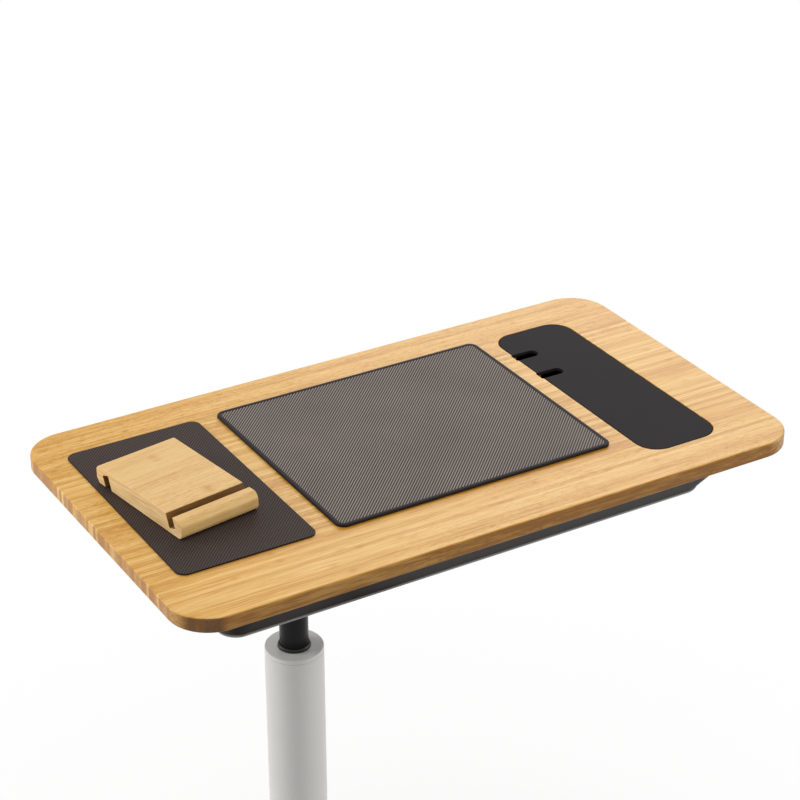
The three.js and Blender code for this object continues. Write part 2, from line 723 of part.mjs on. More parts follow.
const sleeveBore = POLE_RADIUS + RUNNING_GAP;
const sleeveOuter = columnBore - FIT_GAP;
const collarOuter = sleeveBore + SLEEVE_COLLAR_WALL;
const collarTop = capTop + SLEEVE_COLLAR_HEIGHT;
const sleeveTop = columnTop - SEAT;
const sleeveBottom = sleeveTop - SLEEVE_LENGTH;
const sleeveWaist = sleeveBore + SLEEVE_WALL;
piece(leftSide, 'guide_sleeve', turned([
  [sleeveBore, sleeveBottom], [sleeveOuter, sleeveBottom],
  [sleeveOuter, sleeveBottom + SLEEVE_RING], [sleeveWaist, sleeveBottom + SLEEVE_RING],
  [sleeveWaist, sleeveTop - SLEEVE_RING], [sleeveOuter, sleeveTop - SLEEVE_RING],
  [sleeveOuter, sleeveTop], [collarOuter, sleeveTop],
  [collarOuter, collarTop - SLEEVE_COLLAR_WALL / 2],
  [collarOuter - SLEEVE_COLLAR_WALL / 2, collarTop], [sleeveBore, collarTop],
  [sleeveBore, sleeveBottom],
]), MOULDED_BLACK);

const capHole = collarOuter + FIT_GAP;
piece(leftSide, 'column_cap', turned([
  [capHole, capBottom], [COLUMN_RADIUS, capBottom], [COLUMN_RADIUS, capTop - CAP_EDGE_ROUND],
  [COLUMN_RADIUS - CAP_EDGE_ROUND, capTop], [capHole, capTop], [capHole, capBottom],
]), PALE_GREY);

// Rod and piston, which stay with the base.

const poleBottomHeight = tabletopHeight + poleBottom;
const pistonBottom = poleBottomHeight + GLAND_HEIGHT + PISTON_ABOVE_GLAND;
const pistonTop = pistonBottom + PISTON_HEIGHT;
piece(leftSide, 'piston_rod', post(ROD_RADIUS, footTop + SEAT, pistonBottom + PISTON_GRIP,
  COLUMN_FACETS), STEEL);
const pistonOuter = poleBore - RUNNING_GAP;
const pistonSeat = pistonBottom + PISTON_GRIP + SEAT;
piece(leftSide, 'piston', turned([
  [rodHole, pistonBottom], [pistonOuter, pistonBottom], [pistonOuter, pistonTop],
  [0, pistonTop], [0, pistonSeat], [rodHole, pistonSeat], [rodHole, pistonBottom],
]), MOULDED_BLACK);

// The desk, which rises and falls.

const desk = groupAt(trainerDesk, 0, 0, tabletopHeight);
const lift = groupAt(desk, COLUMN_X, 0, 0);

// Moving pole, closed at the top round the valve pin.
const releasePinHole = RELEASE_PIN_RADIUS + RUNNING_GAP;
piece(lift, 'gas_cylinder', turned([
  [poleBore, poleBottom], [POLE_RADIUS, poleBottom], [POLE_RADIUS, poleTop],
  [releasePinHole, poleTop], [releasePinHole, poleTop - POLE_TOP_THICKNESS],
  [poleBore, poleTop - POLE_TOP_THICKNESS], [poleBore, poleBottom],
]), POLE_BLACK);

piece(lift, 'cylinder_gland', ring(ROD_RADIUS + RUNNING_GAP, poleBore - FIT_GAP,
  poleBottom, poleBottom + GLAND_HEIGHT), MOULDED_BLACK);

const pinCollarTop = poleTop - POLE_TOP_THICKNESS - SEAT;
const pinCollarBottom = pinCollarTop - RELEASE_PIN_COLLAR_HEIGHT;
const pinBottom = pinCollarBottom - RELEASE_PIN_TAIL;
piece(lift, 'release_pin', turned([
  [0, pinBottom], [RELEASE_PIN_RADIUS, pinBottom], [RELEASE_PIN_RADIUS, pinCollarBottom],
  [RELEASE_PIN_COLLAR, pinCollarBottom], [RELEASE_PIN_COLLAR, pinCollarTop],
  [RELEASE_PIN_RADIUS, pinCollarTop], [RELEASE_PIN_RADIUS, releasePinTop],
  [0, releasePinTop],
], BOLT_FACETS), STEEL);

// Hub.

const hubBore = POLE_RADIUS + FIT_GAP;
const hubRoof = leverHeight + LEVER_SECTION / 2 + LEVER_LIFT_ROOM;
const leverSlotHalf = LEVER_SECTION / 2 + LEVER_SIDE_GAP;
const leverSlotBottom = leverHeight - LEVER_SECTION / 2 - LEVER_SIDE_GAP;
const boltPlaces = corners.map(([name, x, y]) =>
  [name, x * BRACKET_BOLT_X, y * BRACKET_BOLT_Y]);
const boltHole = BOLT_RADIUS + FIT_GAP;
const setScrewPlaces = [['upper', 1], ['lower', -1]].map(([name, up]) =>
  [name, (poleTop + hubBottom) / 2 + up * SET_SCREW_PITCH / 2]);

const hubPlate = plate(roundedRect((BRACKET_BOLT_X + HUB_PLATE_MARGIN) * 2,
  (BRACKET_BOLT_Y + HUB_PLATE_MARGIN) * 2, HUB_PLATE_CORNER), hubPlateBottom, hubTop,
0, SMALL_CORNER_STEPS);
const hubBoss = turned([
  [0, hubBottom], [HUB_RADIUS - HUB_FOOT_ROUND, hubBottom],
  [HUB_RADIUS, hubBottom + HUB_FOOT_ROUND], [HUB_RADIUS, hubPlateBottom - HUB_FILLET],
  [HUB_RADIUS + HUB_FILLET, hubPlateBottom], [HUB_RADIUS + HUB_FILLET, hubTop - SEAT],
  [0, hubTop - SEAT],
]);
const hubCuts = [
  post(hubBore, hubBottom - OVERRUN, hubRoof, COLUMN_FACETS),
  box(-HUB_RADIUS - HUB_FILLET - OVERRUN, 0, -leverSlotHalf, leverSlotHalf,
    leverSlotBottom, hubRoof),
  barAlongY(LEVER_PIN_RADIUS + FIT_GAP, -HUB_RADIUS, HUB_RADIUS)
    .translate(-LEVER_PIVOT_ARM, 0, leverHeight),
  ...boltPlaces.map(([, x, y]) =>
    post(boltHole, hubPlateBottom - OVERRUN, hubTop + OVERRUN).translate(x, y, 0)),
  ...setScrewPlaces.map(([, z]) =>
    barAlongY(SET_SCREW_RADIUS + FIT_GAP, -HUB_RADIUS - OVERRUN, 0).translate(0, 0, z)),
];
piece(lift, 'column_hub', cut(join(hubPlate, hubBoss), ...hubCuts), CAST_GREY);

for (const [name, z] of setScrewPlaces) {
  const setScrew = barAlongY(SET_SCREW_RADIUS, -HUB_RADIUS + SET_SCREW_INSET,
    -POLE_RADIUS - SEAT);
  piece(lift, `hub_set_screw_${name}`, setScrew.translate(0, 0, z), ZINC);
}

// Release lever.

const pivotChord = Math.sqrt(HUB_RADIUS ** 2 - LEVER_PIVOT_ARM ** 2);
const pinHalf = pivotChord - LEVER_PIN_INSET;
piece(lift, 'lever_pin', barAlongY(LEVER_PIN_RADIUS, -pinHalf, pinHalf)
  .translate(-LEVER_PIVOT_ARM, 0, leverHeight), STEEL);

const leverHalf = LEVER_SECTION / 2;
const leverBar = box(-LEVER_REACH, LEVER_INNER_END, -leverHalf, leverHalf,
  leverHeight - leverHalf, leverHeight + leverHalf);
const leverHole = barAlongY(LEVER_PIN_RADIUS + FIT_GAP, -leverHalf - OVERRUN,
  leverHalf + OVERRUN).translate(-LEVER_PIVOT_ARM, 0, leverHeight);
piece(lift, 'release_lever', cut(leverBar, leverHole), BASE_BLACK);

const gripInner = -LEVER_REACH + GRIP_COVER;
const gripOuter = gripInner - GRIP_LENGTH;
const gripBody = plate(roundedRect(GRIP_LENGTH, GRIP_WIDTH, GRIP_ROUND * 2,
  (gripInner + gripOuter) / 2), leverHeight - GRIP_HEIGHT / 2, leverHeight + GRIP_HEIGHT / 2,
GRIP_ROUND, SMALL_CORNER_STEPS);
const gripSocket = leverHalf + FIT_GAP;
const gripHole = box(-LEVER_REACH - SEAT, gripInner + OVERRUN, -gripSocket, gripSocket,
  leverHeight - gripSocket, leverHeight + gripSocket);
piece(lift, 'lever_grip', cut(gripBody, gripHole), MOULDED_BLACK);

// Bolts through hub, tray and bracket.

const hubHeadTop = hubPlateBottom - SEAT;
const hubBoltTop = bracketBottom + BRACKET_SHEET + BOLT_TAIL;
for (const [name, x, y] of boltPlaces) {
  const bolt = join(
    post(BOLT_HEAD_RADIUS, hubHeadTop - BOLT_HEAD_HEIGHT, hubHeadTop, HEX),
    post(BOLT_RADIUS, hubHeadTop - BOLT_HEAD_HEIGHT / 2, hubBoltTop),
  );
  piece(lift, `hub_bolt_${name}`, bolt.translate(x, y, 0), ZINC);
}

// Support bracket.

const bracketHalf = BRACKET_WIDTH / 2;
const bracketEdge = bracketHalf + BRACKET_FLANGE;
const hat = new THREE.Shape();
hat.moveTo(-bracketHalf, bracketBottom);
hat.lineTo(bracketHalf, bracketBottom);
hat.lineTo(bracketHalf, bracketTop - BRACKET_SHEET);
hat.lineTo(bracketEdge, bracketTop - BRACKET_SHEET);
hat.lineTo(bracketEdge, bracketTop);
hat.lineTo(bracketHalf - BRACKET_SHEET, bracketTop);
hat.lineTo(bracketHalf - BRACKET_SHEET, bracketBottom + BRACKET_SHEET);
hat.lineTo(-bracketHalf + BRACKET_SHEET, bracketBottom + BRACKET_SHEET);
hat.lineTo(-bracketHalf + BRACKET_SHEET, bracketTop);
hat.lineTo(-bracketEdge, bracketTop);
hat.lineTo(-bracketEdge, bracketTop - BRACKET_SHEET);
hat.lineTo(-bracketHalf, bracketTop - BRACKET_SHEET);
hat.closePath();

const bracketBody = plate(hat, -BRACKET_DEPTH / 2, BRACKET_DEPTH / 2).rotateX(Math.PI / 2);
piece(lift, 'support_bracket', cut(bracketBody,
  ...boltPlaces.map(([, x, y]) => post(boltHole, bracketBottom - OVERRUN,
    bracketBottom + BRACKET_SHEET + OVERRUN).translate(x, y, 0)),
), ZINC);

// Cable tray.

// A ring of points round a rounded rectangle, grown from the floor's outline.
function trayRing(grow, z) {
  const shape = roundedRect((TRAY_FLOOR_HALF_WIDTH + grow) * 2,
    (TRAY_FLOOR_HALF_DEPTH + grow) * 2, TRAY_CORNER + grow);
  return shape.getPoints(CORNER_STEPS).slice(0, -1).map((p) => [p.x, p.y, z]);
}

// Skins rings of equal counts into one closed body, and caps the two ends.
function skin(rings) {
  const count = rings[0].length;
  const positions = rings.flat(2);
  const index = [];
  for (let r = 0; r + 1 < rings.length; r += 1) {
    for (let i = 0; i < count; i += 1) {
      const a = r * count + i;
      const b = r * count + (i + 1) % count;
      index.push(a, b, b + count, a, b + count, a + count);
    }
  }
  const cap = (ringPoints, first, flipped) => {
    const outline = ringPoints.map(([x, y]) => new THREE.Vector2(x, y));
    for (const [a, b, c] of THREE.ShapeUtils.triangulateShape(outline, [])) {
      index.push(first + a, first + (flipped ? c : b), first + (flipped ? b : c));
    }
  };
  cap(rings[0], 0, true);
  cap(rings[rings.length - 1], (rings.length - 1) * count, false);
  const geometry = new THREE.BufferGeometry();
  geometry.setAttribute('position', new THREE.Float32BufferAttribute(positions, 3));
  geometry.setIndex(index);
  return geometry;
}

const flangeBottom = trayTop - TRAY_SHEET;
const innerRound = TRAY_BOTTOM_ROUND - TRAY_SHEET;

// Rings up a quarter round from a floor, drawn in from the wall above it.
function roundedFoot(radius, wall, floor) {
  const rings = [];
  for (let step = 0; step <= EDGE_STEPS; step += 1) {
    const turn = Math.PI / 2 * step / EDGE_STEPS;
    const [across, down] = [Math.sin(turn), Math.cos(turn)];
    rings.push(trayRing(wall - radius + radius * across, floor + radius - radius * down));
  }
  return rings;
}

const trayRings = [
  ...roundedFoot(TRAY_BOTTOM_ROUND, 0, trayBottom),
  trayRing(TRAY_DRAFT, flangeBottom),
  trayRing(TRAY_DRAFT + TRAY_FLANGE, flangeBottom),
  trayRing(TRAY_DRAFT + TRAY_FLANGE, trayTop),
  trayRing(TRAY_DRAFT - TRAY_SHEET, trayTop),
  ...roundedFoot(innerRound, -TRAY_SHEET, trayFloor).reverse(),
];

piece(desk, 'tray', cut(skin(trayRings),
  ...boltPlaces.map(([, x, y]) => post(boltHole, trayBottom - OVERRUN, trayFloor + OVERRUN)
    .translate(COLUMN_X + x, y, 0)),
), TRAY_BLACK);

// Tabletop board and lid.

const lidLeft = LID_X - LID_WIDTH / 2;
const slotPlaces = [FIRST_SLOT_Y, FIRST_SLOT_Y + SLOT_SPACING];
const slotMiddle = lidLeft + (SLOT_REACH - SLOT_WIDTH) / 2;
const slotLength = SLOT_REACH + SLOT_WIDTH;

// A slot's notch in the wood: square to the lid, with eased far corners.
function notch(y) {
  const left = lidLeft - SLOT_NOTCH;
  const width = SLOT_NOTCH + LID_SIDE_GAP + LEDGE_WIDTH + OVERRUN;
  return plate(roundedRect(width, SLOT_WIDTH, NOTCH_CORNER, left + width / 2, y),
    boardBottom - OVERRUN, OVERRUN, 0, SMALL_CORNER_STEPS);
}

const lidPocket = plate(
  roundedRect(LID_WIDTH + LID_SIDE_GAP * 2, LID_DEPTH + LID_SIDE_GAP * 2,
    LID_CORNER + LID_SIDE_GAP, LID_X, LID_Y),
  -LID_THICKNESS - SEAT, OVERRUN);
const inset = (LEDGE_WIDTH - LID_SIDE_GAP) * 2;
const bayCutOut = plate(
  roundedRect(LID_WIDTH - inset, LID_DEPTH - inset, LID_CORNER - LEDGE_WIDTH, LID_X, LID_Y),
  boardBottom - OVERRUN, OVERRUN);

const board = plate(roundedRect(BOARD_WIDTH, BOARD_DEPTH, BOARD_CORNER), boardBottom, 0,
  BOARD_EDGE_ROUND);
piece(desk, 'desktop', cut(board, lidPocket, bayCutOut, ...slotPlaces.map(notch)), BAMBOO);

const lid = plate(roundedRect(LID_WIDTH, LID_DEPTH, LID_CORNER, LID_X, LID_Y),
  -LID_THICKNESS, 0, LID_EDGE_ROUND);
const lidSlots = slotPlaces.map((y) => plate(
  roundedRect(slotLength, SLOT_WIDTH, SLOT_WIDTH / 2, slotMiddle, y),
  -LID_THICKNESS - OVERRUN, OVERRUN, 0, SMALL_CORNER_STEPS));
piece(desk, 'cable_lid', cut(lid, ...lidSlots), LID_BLACK);

// Mats.

piece(desk, 'left_mat', plate(
  roundedRect(LEFT_MAT_WIDTH, LEFT_MAT_DEPTH, LEFT_MAT_CORNER, leftMatX, LEFT_MAT_Y),
  SEAT, SEAT + LEFT_MAT_THICKNESS, LEFT_MAT_EDGE_ROUND, SMALL_CORNER_STEPS), MAT_CLOTH);

const laptopMatTop = SEAT + LAPTOP_MAT_THICKNESS;
const laptopMat = plate(
  roundedRect(LAPTOP_MAT_WIDTH, LAPTOP_MAT_DEPTH, LAPTOP_MAT_CORNER, LAPTOP_MAT_X,
    LAPTOP_MAT_Y),
  SEAT, laptopMatTop, LAPTOP_MAT_EDGE_ROUND, SMALL_CORNER_STEPS);
const laptopMatField = plate(
  roundedRect(LAPTOP_MAT_WIDTH - LAPTOP_MAT_RIM * 2, LAPTOP_MAT_DEPTH - LAPTOP_MAT_RIM * 2,
    LAPTOP_MAT_CORNER - LAPTOP_MAT_RIM, LAPTOP_MAT_X, LAPTOP_MAT_Y),
  laptopMatTop - LAPTOP_MAT_SINK, laptopMatTop + OVERRUN, 0, SMALL_CORNER_STEPS);
piece(desk, 'laptop_mat', cut(laptopMat, laptopMatField), MAT_CLOTH);

// Phone stand.

// Half of the side view, from the front foot round to the groove's back edge.
const grooveRun = Math.tan(GROOVE_LEAN);
const grooveBackFoot = GROOVE_FROM_NOSE + GROOVE_MOUTH
  - (STAND_THICKNESS - GROOVE_FLOOR) * grooveRun;
const grooveFloorRise = GROOVE_MOUTH * Math.cos(GROOVE_LEAN) * Math.sin(GROOVE_LEAN);
const grooveFrontFloor = GROOVE_FLOOR + grooveFloorRise;
const grooveFrontFoot = GROOVE_FROM_NOSE
  - (STAND_THICKNESS - grooveFrontFloor) * grooveRun;
const halfOutline = [
  [GROOVE_FROM_NOSE + GROOVE_MOUTH, STAND_THICKNESS, GROOVE_ROUND],
  [grooveBackFoot, GROOVE_FLOOR, GROOVE_ROUND],
  [grooveFrontFoot, grooveFrontFloor, GROOVE_ROUND],
  [GROOVE_FROM_NOSE, STAND_THICKNESS, GROOVE_ROUND],
  [NOSE_TOP_BACK, STAND_THICKNESS, NOSE_TOP_ROUND],
  [NOSE_SLOPE, NOSE_HEIGHT, NOSE_ROUND],
  [0, 0, FOOT_ROUND],
];
const flipped = halfOutline.map(([y, z, ease]) =>
  [STAND_LENGTH - y, STAND_THICKNESS - z, ease]);
const standSide = easedPolygon([...halfOutline, ...flipped]);
const standBlock = plate(standSide, 0, STAND_WIDTH, STAND_EDGE_ROUND, EDGE_STEPS)
  .rotateX(Math.PI / 2).rotateZ(Math.PI / 2);
const stand = groupAt(desk, standX, standY, standBottom);
stand.rotation.z = STAND_TURN;
piece(stand, 'phone_stand', standBlock, BAMBOO_BLOCK);

export default trainerDesk;
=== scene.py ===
# %% [markdown]
# # A bike trainer desk
# A rider on a home trainer rolls this small desk over the front wheel. It is a bamboo
# board with two mats, a phone block, a flush lid over a cable bay, and a black tray
# below. A gas lift carries it on a wheeled base. The solids come in as a fixed frame,
# and the pieces here are finer skins that stand exactly where the solids stand.

import math

import bmesh
import bpy
from mathutils import Euler, Matrix, Vector


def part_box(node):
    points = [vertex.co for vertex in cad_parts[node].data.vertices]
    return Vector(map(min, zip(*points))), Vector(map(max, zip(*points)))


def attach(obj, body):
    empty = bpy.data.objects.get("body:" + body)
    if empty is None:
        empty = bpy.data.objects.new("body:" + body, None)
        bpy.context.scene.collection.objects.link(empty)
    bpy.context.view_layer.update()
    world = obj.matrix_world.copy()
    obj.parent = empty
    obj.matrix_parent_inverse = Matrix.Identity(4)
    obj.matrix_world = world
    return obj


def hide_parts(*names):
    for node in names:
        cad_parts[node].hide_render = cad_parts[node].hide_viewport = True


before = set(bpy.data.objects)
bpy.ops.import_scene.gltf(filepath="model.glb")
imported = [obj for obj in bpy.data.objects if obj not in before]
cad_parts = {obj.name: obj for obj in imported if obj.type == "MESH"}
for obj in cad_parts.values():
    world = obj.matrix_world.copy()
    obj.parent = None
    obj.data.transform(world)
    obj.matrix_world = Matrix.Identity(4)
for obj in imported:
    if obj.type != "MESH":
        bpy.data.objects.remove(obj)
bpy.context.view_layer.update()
scene = bpy.context.scene
scene.view_settings.view_transform = "Standard"
MM = 0.001

# %% [markdown]
# ## Camera
# The photograph was taken from the front left, a little over a metre above the board,
# with a long lens. Its place was found from the board's straight edges, so it is
# written down here relative to the middle of the tabletop.

# %% Camera
board_low, board_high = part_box("desktop")
TOP = board_high.z
EYE = Vector((-1.1004, -1.8342, 1.1909))
PITCH, ROLL, YAW = math.radians(61.835), math.radians(-0.139), math.radians(-30.669)
SENSOR_WIDTH, FOCAL_LENGTH = 36, 105.94

lens = bpy.data.cameras.new("camera")
lens.sensor_width = SENSOR_WIDTH
lens.lens = FOCAL_LENGTH
camera = bpy.data.objects.new("camera", lens)
camera.location = EYE + Vector((0, 0, TOP))
tilt = Euler((PITCH, 0, YAW), "XYZ").to_matrix()
camera.rotation_euler = (tilt @ Matrix.Rotation(ROLL, 3, "Z")).to_euler()
scene.collection.objects.link(camera)
scene.camera = camera
print("camera stands", round(camera.location.z, 3), "m above the floor")

# %% [markdown]
# ## Writing a finish as sums
# A finish is a graph of nodes. Wiring nodes one by one hides the idea, so a Signal
# wraps a node's output and can be added, multiplied and compared like a number: each
# sign adds one Math node.


# %% Signals
def sign(operation, swapped=False, clamp=False):
    """A method that adds one Math node; swapped puts the signal second."""
    def method(self, other=0.0):
        first, second = (other, self) if swapped else (self, other)
        return self.finish.add("ShaderNodeMath", {"operation": operation, "use_clamp": clamp},
                               {0: first, 1: second})
    return method


class Signal:
    """A node's output that can be used in sums."""

    def __init__(self, finish, socket):
        self.finish = finish
        self.socket = socket

    __add__, __radd__ = sign("ADD"), sign("ADD", swapped=True)
    __sub__, __rsub__ = sign("SUBTRACT"), sign("SUBTRACT", swapped=True)
    __mul__, __rmul__ = sign("MULTIPLY"), sign("MULTIPLY", swapped=True)
    __truediv__ = sign("DIVIDE")
    __pow__ = sign("POWER")
    __gt__ = sign("GREATER_THAN")
    __abs__ = sign("ABSOLUTE")
    floor = sign("FLOOR")
    fraction = sign("FRACT")
    wave = sign("SINE")
    clamped = sign("ADD", clamp=True)


print("signals are ready for sums")

# %% [markdown]
# ## Finishes
# Every node comes from Finish.add, which takes the node's type, its settings and what
# goes into its sockets. A constant is set on the socket itself, so the graph holds only
# what varies over the surface. The desk's colours are written as a screen shows them,
# from 0 to 255.


# %% Inks and finishes
def ink(red, green, blue):
    """A screen colour, 0 to 255, as the linear colour that the shader works in."""
    def linear(value):
        share = value / 255
        return share / 12.92 if share < 0.04045 else ((share + 0.055) / 1.055) ** 2.4
    return (linear(red), linear(green), linear(blue))


class Finish:
    """The nodes of a new material, by its name, or of a world."""

    def __init__(self, owner, shader="Principled BSDF"):
        self.material = bpy.data.materials.new(owner) if isinstance(owner, str) else owner
        self.material.use_nodes = True
        self.tree = self.material.node_tree
        self.shader = self.tree.nodes[shader]

    def add(self, kind, settings=None, sockets=None, out=0):
        node = self.tree.nodes.new(kind)
        for name, value in (settings or {}).items():
            if name == "stops":
                self.set_stops(node.color_ramp, value)
            else:
                setattr(node, name, value)
        for name, value in (sockets or {}).items():
            self.feed(node.inputs[name], value)
        return Signal(self, node.outputs[out])

    def set_stops(self, ramp, stops):
        while len(ramp.elements) < len(stops):
            ramp.elements.new(1.0)
        for element, (place, colour) in zip(ramp.elements, stops):
            element.position = place
            element.color = (*colour, 1.0)

    def feed(self, socket, value):
        if isinstance(value, Signal):
            self.tree.links.new(value.socket, socket)
        elif socket.type == "RGBA" and len(value) == 3:
            socket.default_value = (*value, 1.0)
        else:
            socket.default_value = value

    def skin(self, **looks):
        """Sets the shader's sockets; a socket's spaces are written as underscores."""
        for name, value in looks.items():
            self.feed(self.shader.inputs[name.replace("_", " ")], value)
        return self.material

    def place(self):
        """Where a point is on the piece, in metres."""
        return self.add("ShaderNodeTexCoord", out="Object")

    def axes(self, vector):
        split = self.add("ShaderNodeSeparateXYZ", None, {0: vector})
        outputs = split.socket.node.outputs
        return [Signal(self, outputs[axis]) for axis in "XYZ"]

    def facing(self):
        """The way the surface faces, as three signals."""
        return self.axes(self.add("ShaderNodeTexCoord", out="Normal"))

    def noise(self, where, scale, stretch=(1, 1, 1), detail=2.0, roughness=0.5):
        spread = self.add("ShaderNodeMapping", {"vector_type": "POINT"},
                          {"Vector": where, "Scale": stretch})
        return self.add("ShaderNodeTexNoise", {"noise_dimensions": "3D"},
                        {"Vector": spread, "Scale": scale, "Detail": detail,
                         "Roughness": roughness})

    def chance(self, number):
        """The same random share each time for the same number."""
        return self.add("ShaderNodeTexWhiteNoise", {"noise_dimensions": "1D"}, {"W": number})

    def blend(self, share, first, second):
        settings = {"data_type": "RGBA", "blend_type": "MIX"}
        return self.add("ShaderNodeMix", settings, {0: share, 6: first, 7: second}, out=2)

    def ramp(self, share, stops):
        return self.add("ShaderNodeValToRGB", {"stops": stops}, {0: share})

    def relief(self, height, distance, strength):
        return self.add("ShaderNodeBump", None,
                        {"Height": height, "Distance": distance, "Strength": strength})


print("finishes can be mixed")

# %% [markdown]
# ## Light and room
# The photograph is a white studio. A broad soft light stands behind and to the right,
# one hangs above, and one on the left lights the end grain. Two low lights lift the soft
# shade on the camera's side. The white background comes from Light Path: the camera and
# gloss see white, while the light itself stays at a plain level. The paper floor keeps
# the shadow near the desk, and further off it fades into the white.


# %% Sky
def seen_directly(finish):
    """One for the camera, for gloss and through glass; zero for the light itself."""
    path = finish.add("ShaderNodeLightPath")
    rays = [Signal(finish, path.socket.node.outputs[name])
            for name in ("Is Camera Ray", "Is Glossy Ray", "Is Transmission Ray")]
    return (rays[0] + rays[1] + rays[2]).clamped()


WHITE = (1.0, 1.0, 1.0)
SKY_LIGHT = 0.42
scene.world = bpy.data.worlds.new("studio")
sky = Finish(scene.world, "Background")
sky.skin(Color=WHITE, Strength=SKY_LIGHT + (1.0 - SKY_LIGHT) * seen_directly(sky))
print("the sky lights at", SKY_LIGHT, "and is seen as white")

# %% Floor
FLOOR_REACH = 40.0
SHADOW_REACH, WHITE_FROM = 0.55, 1.2
NEAR_GLOW = 0.62
PAPER_SEEN, PAPER_LIT = (0.95, 0.95, 0.95), (0.36, 0.36, 0.36)
floor_mesh = bpy.data.meshes.new("floor")
floor_mesh.from_pydata(
    [(x * FLOOR_REACH, y * FLOOR_REACH, 0) for x, y in ((-1, -1), (1, -1), (1, 1), (-1, 1))],
    [], [(0, 1, 2, 3)])
floor = bpy.data.objects.new("floor", floor_mesh)
scene.collection.objects.link(floor)

paper = Finish("white_paper")
seen = seen_directly(paper)
x, y, _ = paper.axes(paper.place())
away = (((x * x + y * y) ** 0.5 - SHADOW_REACH) / (WHITE_FROM - SHADOW_REACH)).clamped()
paper.skin(Base_Color=paper.blend(seen, PAPER_LIT, PAPER_SEEN), Roughness=0.9)
glow = paper.add("ShaderNodeEmission", None, {"Color": WHITE, "Strength": 1.0})
mixed = paper.add("ShaderNodeMixShader", None,
                  {0: seen * (NEAR_GLOW + (1.0 - NEAR_GLOW) * away),
                   1: Signal(paper, paper.shader.outputs[0]), 2: glow})
paper.tree.links.new(mixed.socket, paper.tree.nodes["Material Output"].inputs["Surface"])
floor_mesh.materials.append(paper.material)
print("the floor keeps shadows up to", SHADOW_REACH, "m and is white from", WHITE_FROM, "m")


# %% Lamps
def lamp(name, place, aim, size, power, colour=WHITE):
    light = bpy.data.lights.new(name, "AREA")
    light.shape = "RECTANGLE"
    light.size, light.size_y = size
    light.energy = power
    light.color = colour
    holder = bpy.data.objects.new(name, light)
    holder.location = place
    holder.rotation_euler = (Vector(aim) - Vector(place)).to_track_quat("-Z", "Y").to_euler()
    scene.collection.objects.link(holder)
    print("lamp", name, power, "W")


WARM, NEARLY_WHITE = (1.0, 0.985, 0.96), (1.0, 0.99, 0.97)
MIDDLE = (0, 0, TOP)
COLUMN_HEAD, TRAY_WALL = (-0.15, 0, TOP - 0.1), (0.1, 0, TOP - 0.1)
lamp("softbox_behind_right", (2.2, 2.4, TOP + 1.75), MIDDLE, (2.2, 1.6), 31, WARM)
lamp("softbox_above", (-0.3, -0.1, TOP + 2.4), MIDDLE, (1.8, 1.8), 18)
lamp("softbox_left", (-2.4, 1.6, TOP + 0.7), MIDDLE, (1.3, 1.3), 40, NEARLY_WHITE)
lamp("softbox_low_front", (-1.5, -2.4, TOP + 0.1), COLUMN_HEAD, (1.2, 0.8), 5.5)
lamp("softbox_low_right", (1.9, -0.8, TOP + 0.15), TRAY_WALL, (0.8, 0.8), 15)

# %% [markdown]
# ## Making meshes
# Nearly everything here is one of four forms: a stack of rings (the board, the mats, the
# tray), a turned piece (the column, the wheels), a flat outline given thickness (the
# lid, the block), or a refined copy of a small fitting's solid. The stack comes first,
# because the turned and the flat forms are stacks, too. The other helpers stand where
# they are first needed. Outlines are written in millimetres.


# %% Rings
def round_rect(width, depth, corner, middle=(0.0, 0.0), steps=10):
    """Points round a rectangle with round corners, counter-clockwise."""
    points = []
    for across, along, start in ((1, -1, -90), (1, 1, 0), (-1, 1, 90), (-1, -1, 180)):
        cx = middle[0] + across * (width / 2 - corner)
        cy = middle[1] + along * (depth / 2 - corner)
        for step in range(steps + 1):
            turn = math.radians(start + 90 * step / steps)
            points.append((cx + corner * math.cos(turn), cy + corner * math.sin(turn)))
    return points


def pad_rings(width, depth, corner, bottom, top, middle=(0.0, 0.0), low_ease=0.0,
              high_ease=0.0, steps=6, corner_steps=10):
    """Rings of a round-cornered pad with its lower and upper edges rounded."""
    def ring(inset, height):
        flat = round_rect(width - inset * 2, depth - inset * 2, max(corner - inset, 0.05),
                          middle, corner_steps)
        return [(x, y, height) for x, y in flat]
    rings = []
    for ease, start, way in ((low_ease, bottom, 1), (high_ease, top, -1)):
        part = []
        for step in range(steps + 1 if ease > 0 else 1):
            turn = math.pi / 2 * step / steps
            part.append(ring(ease * (1 - math.sin(turn)),
                             start + way * ease * (1 - math.cos(turn))))
        rings += part if way > 0 else reversed(part)
    return rings


print("a pad with sharp edges has", len(pad_rings(10, 10, 2, 0, 1)), "rings")


# %% From rings to a mesh
def mesh_of(name, vertices, faces):
    mesh = bpy.data.meshes.new(name)
    mesh.from_pydata([tuple(c * MM for c in v) for v in vertices], [], faces)
    builder = bmesh.new()
    builder.from_mesh(mesh)
    bmesh.ops.remove_doubles(builder, verts=builder.verts, dist=1e-7)
    bmesh.ops.recalc_face_normals(builder, faces=builder.faces)
    builder.to_mesh(mesh)
    builder.free()
    return mesh


def stacked(name, rings, loop=False):
    """Skins rings of equal counts; the ends are capped, or joined into a loop."""
    count = len(rings[0])
    vertices = [v for ring in rings for v in ring]
    faces = []
    for r in range(len(rings) if loop else len(rings) - 1):
        low, high = r * count, (r + 1) % len(rings) * count
        for i in range(count):
            j = (i + 1) % count
            faces.append((low + i, low + j, high + j, high + i))
    if not loop:
        faces.append(tuple(reversed(range(count))))
        faces.append(tuple(range(len(vertices) - count, len(vertices))))
    return mesh_of(name, vertices, faces)


print("rings can be skinned")


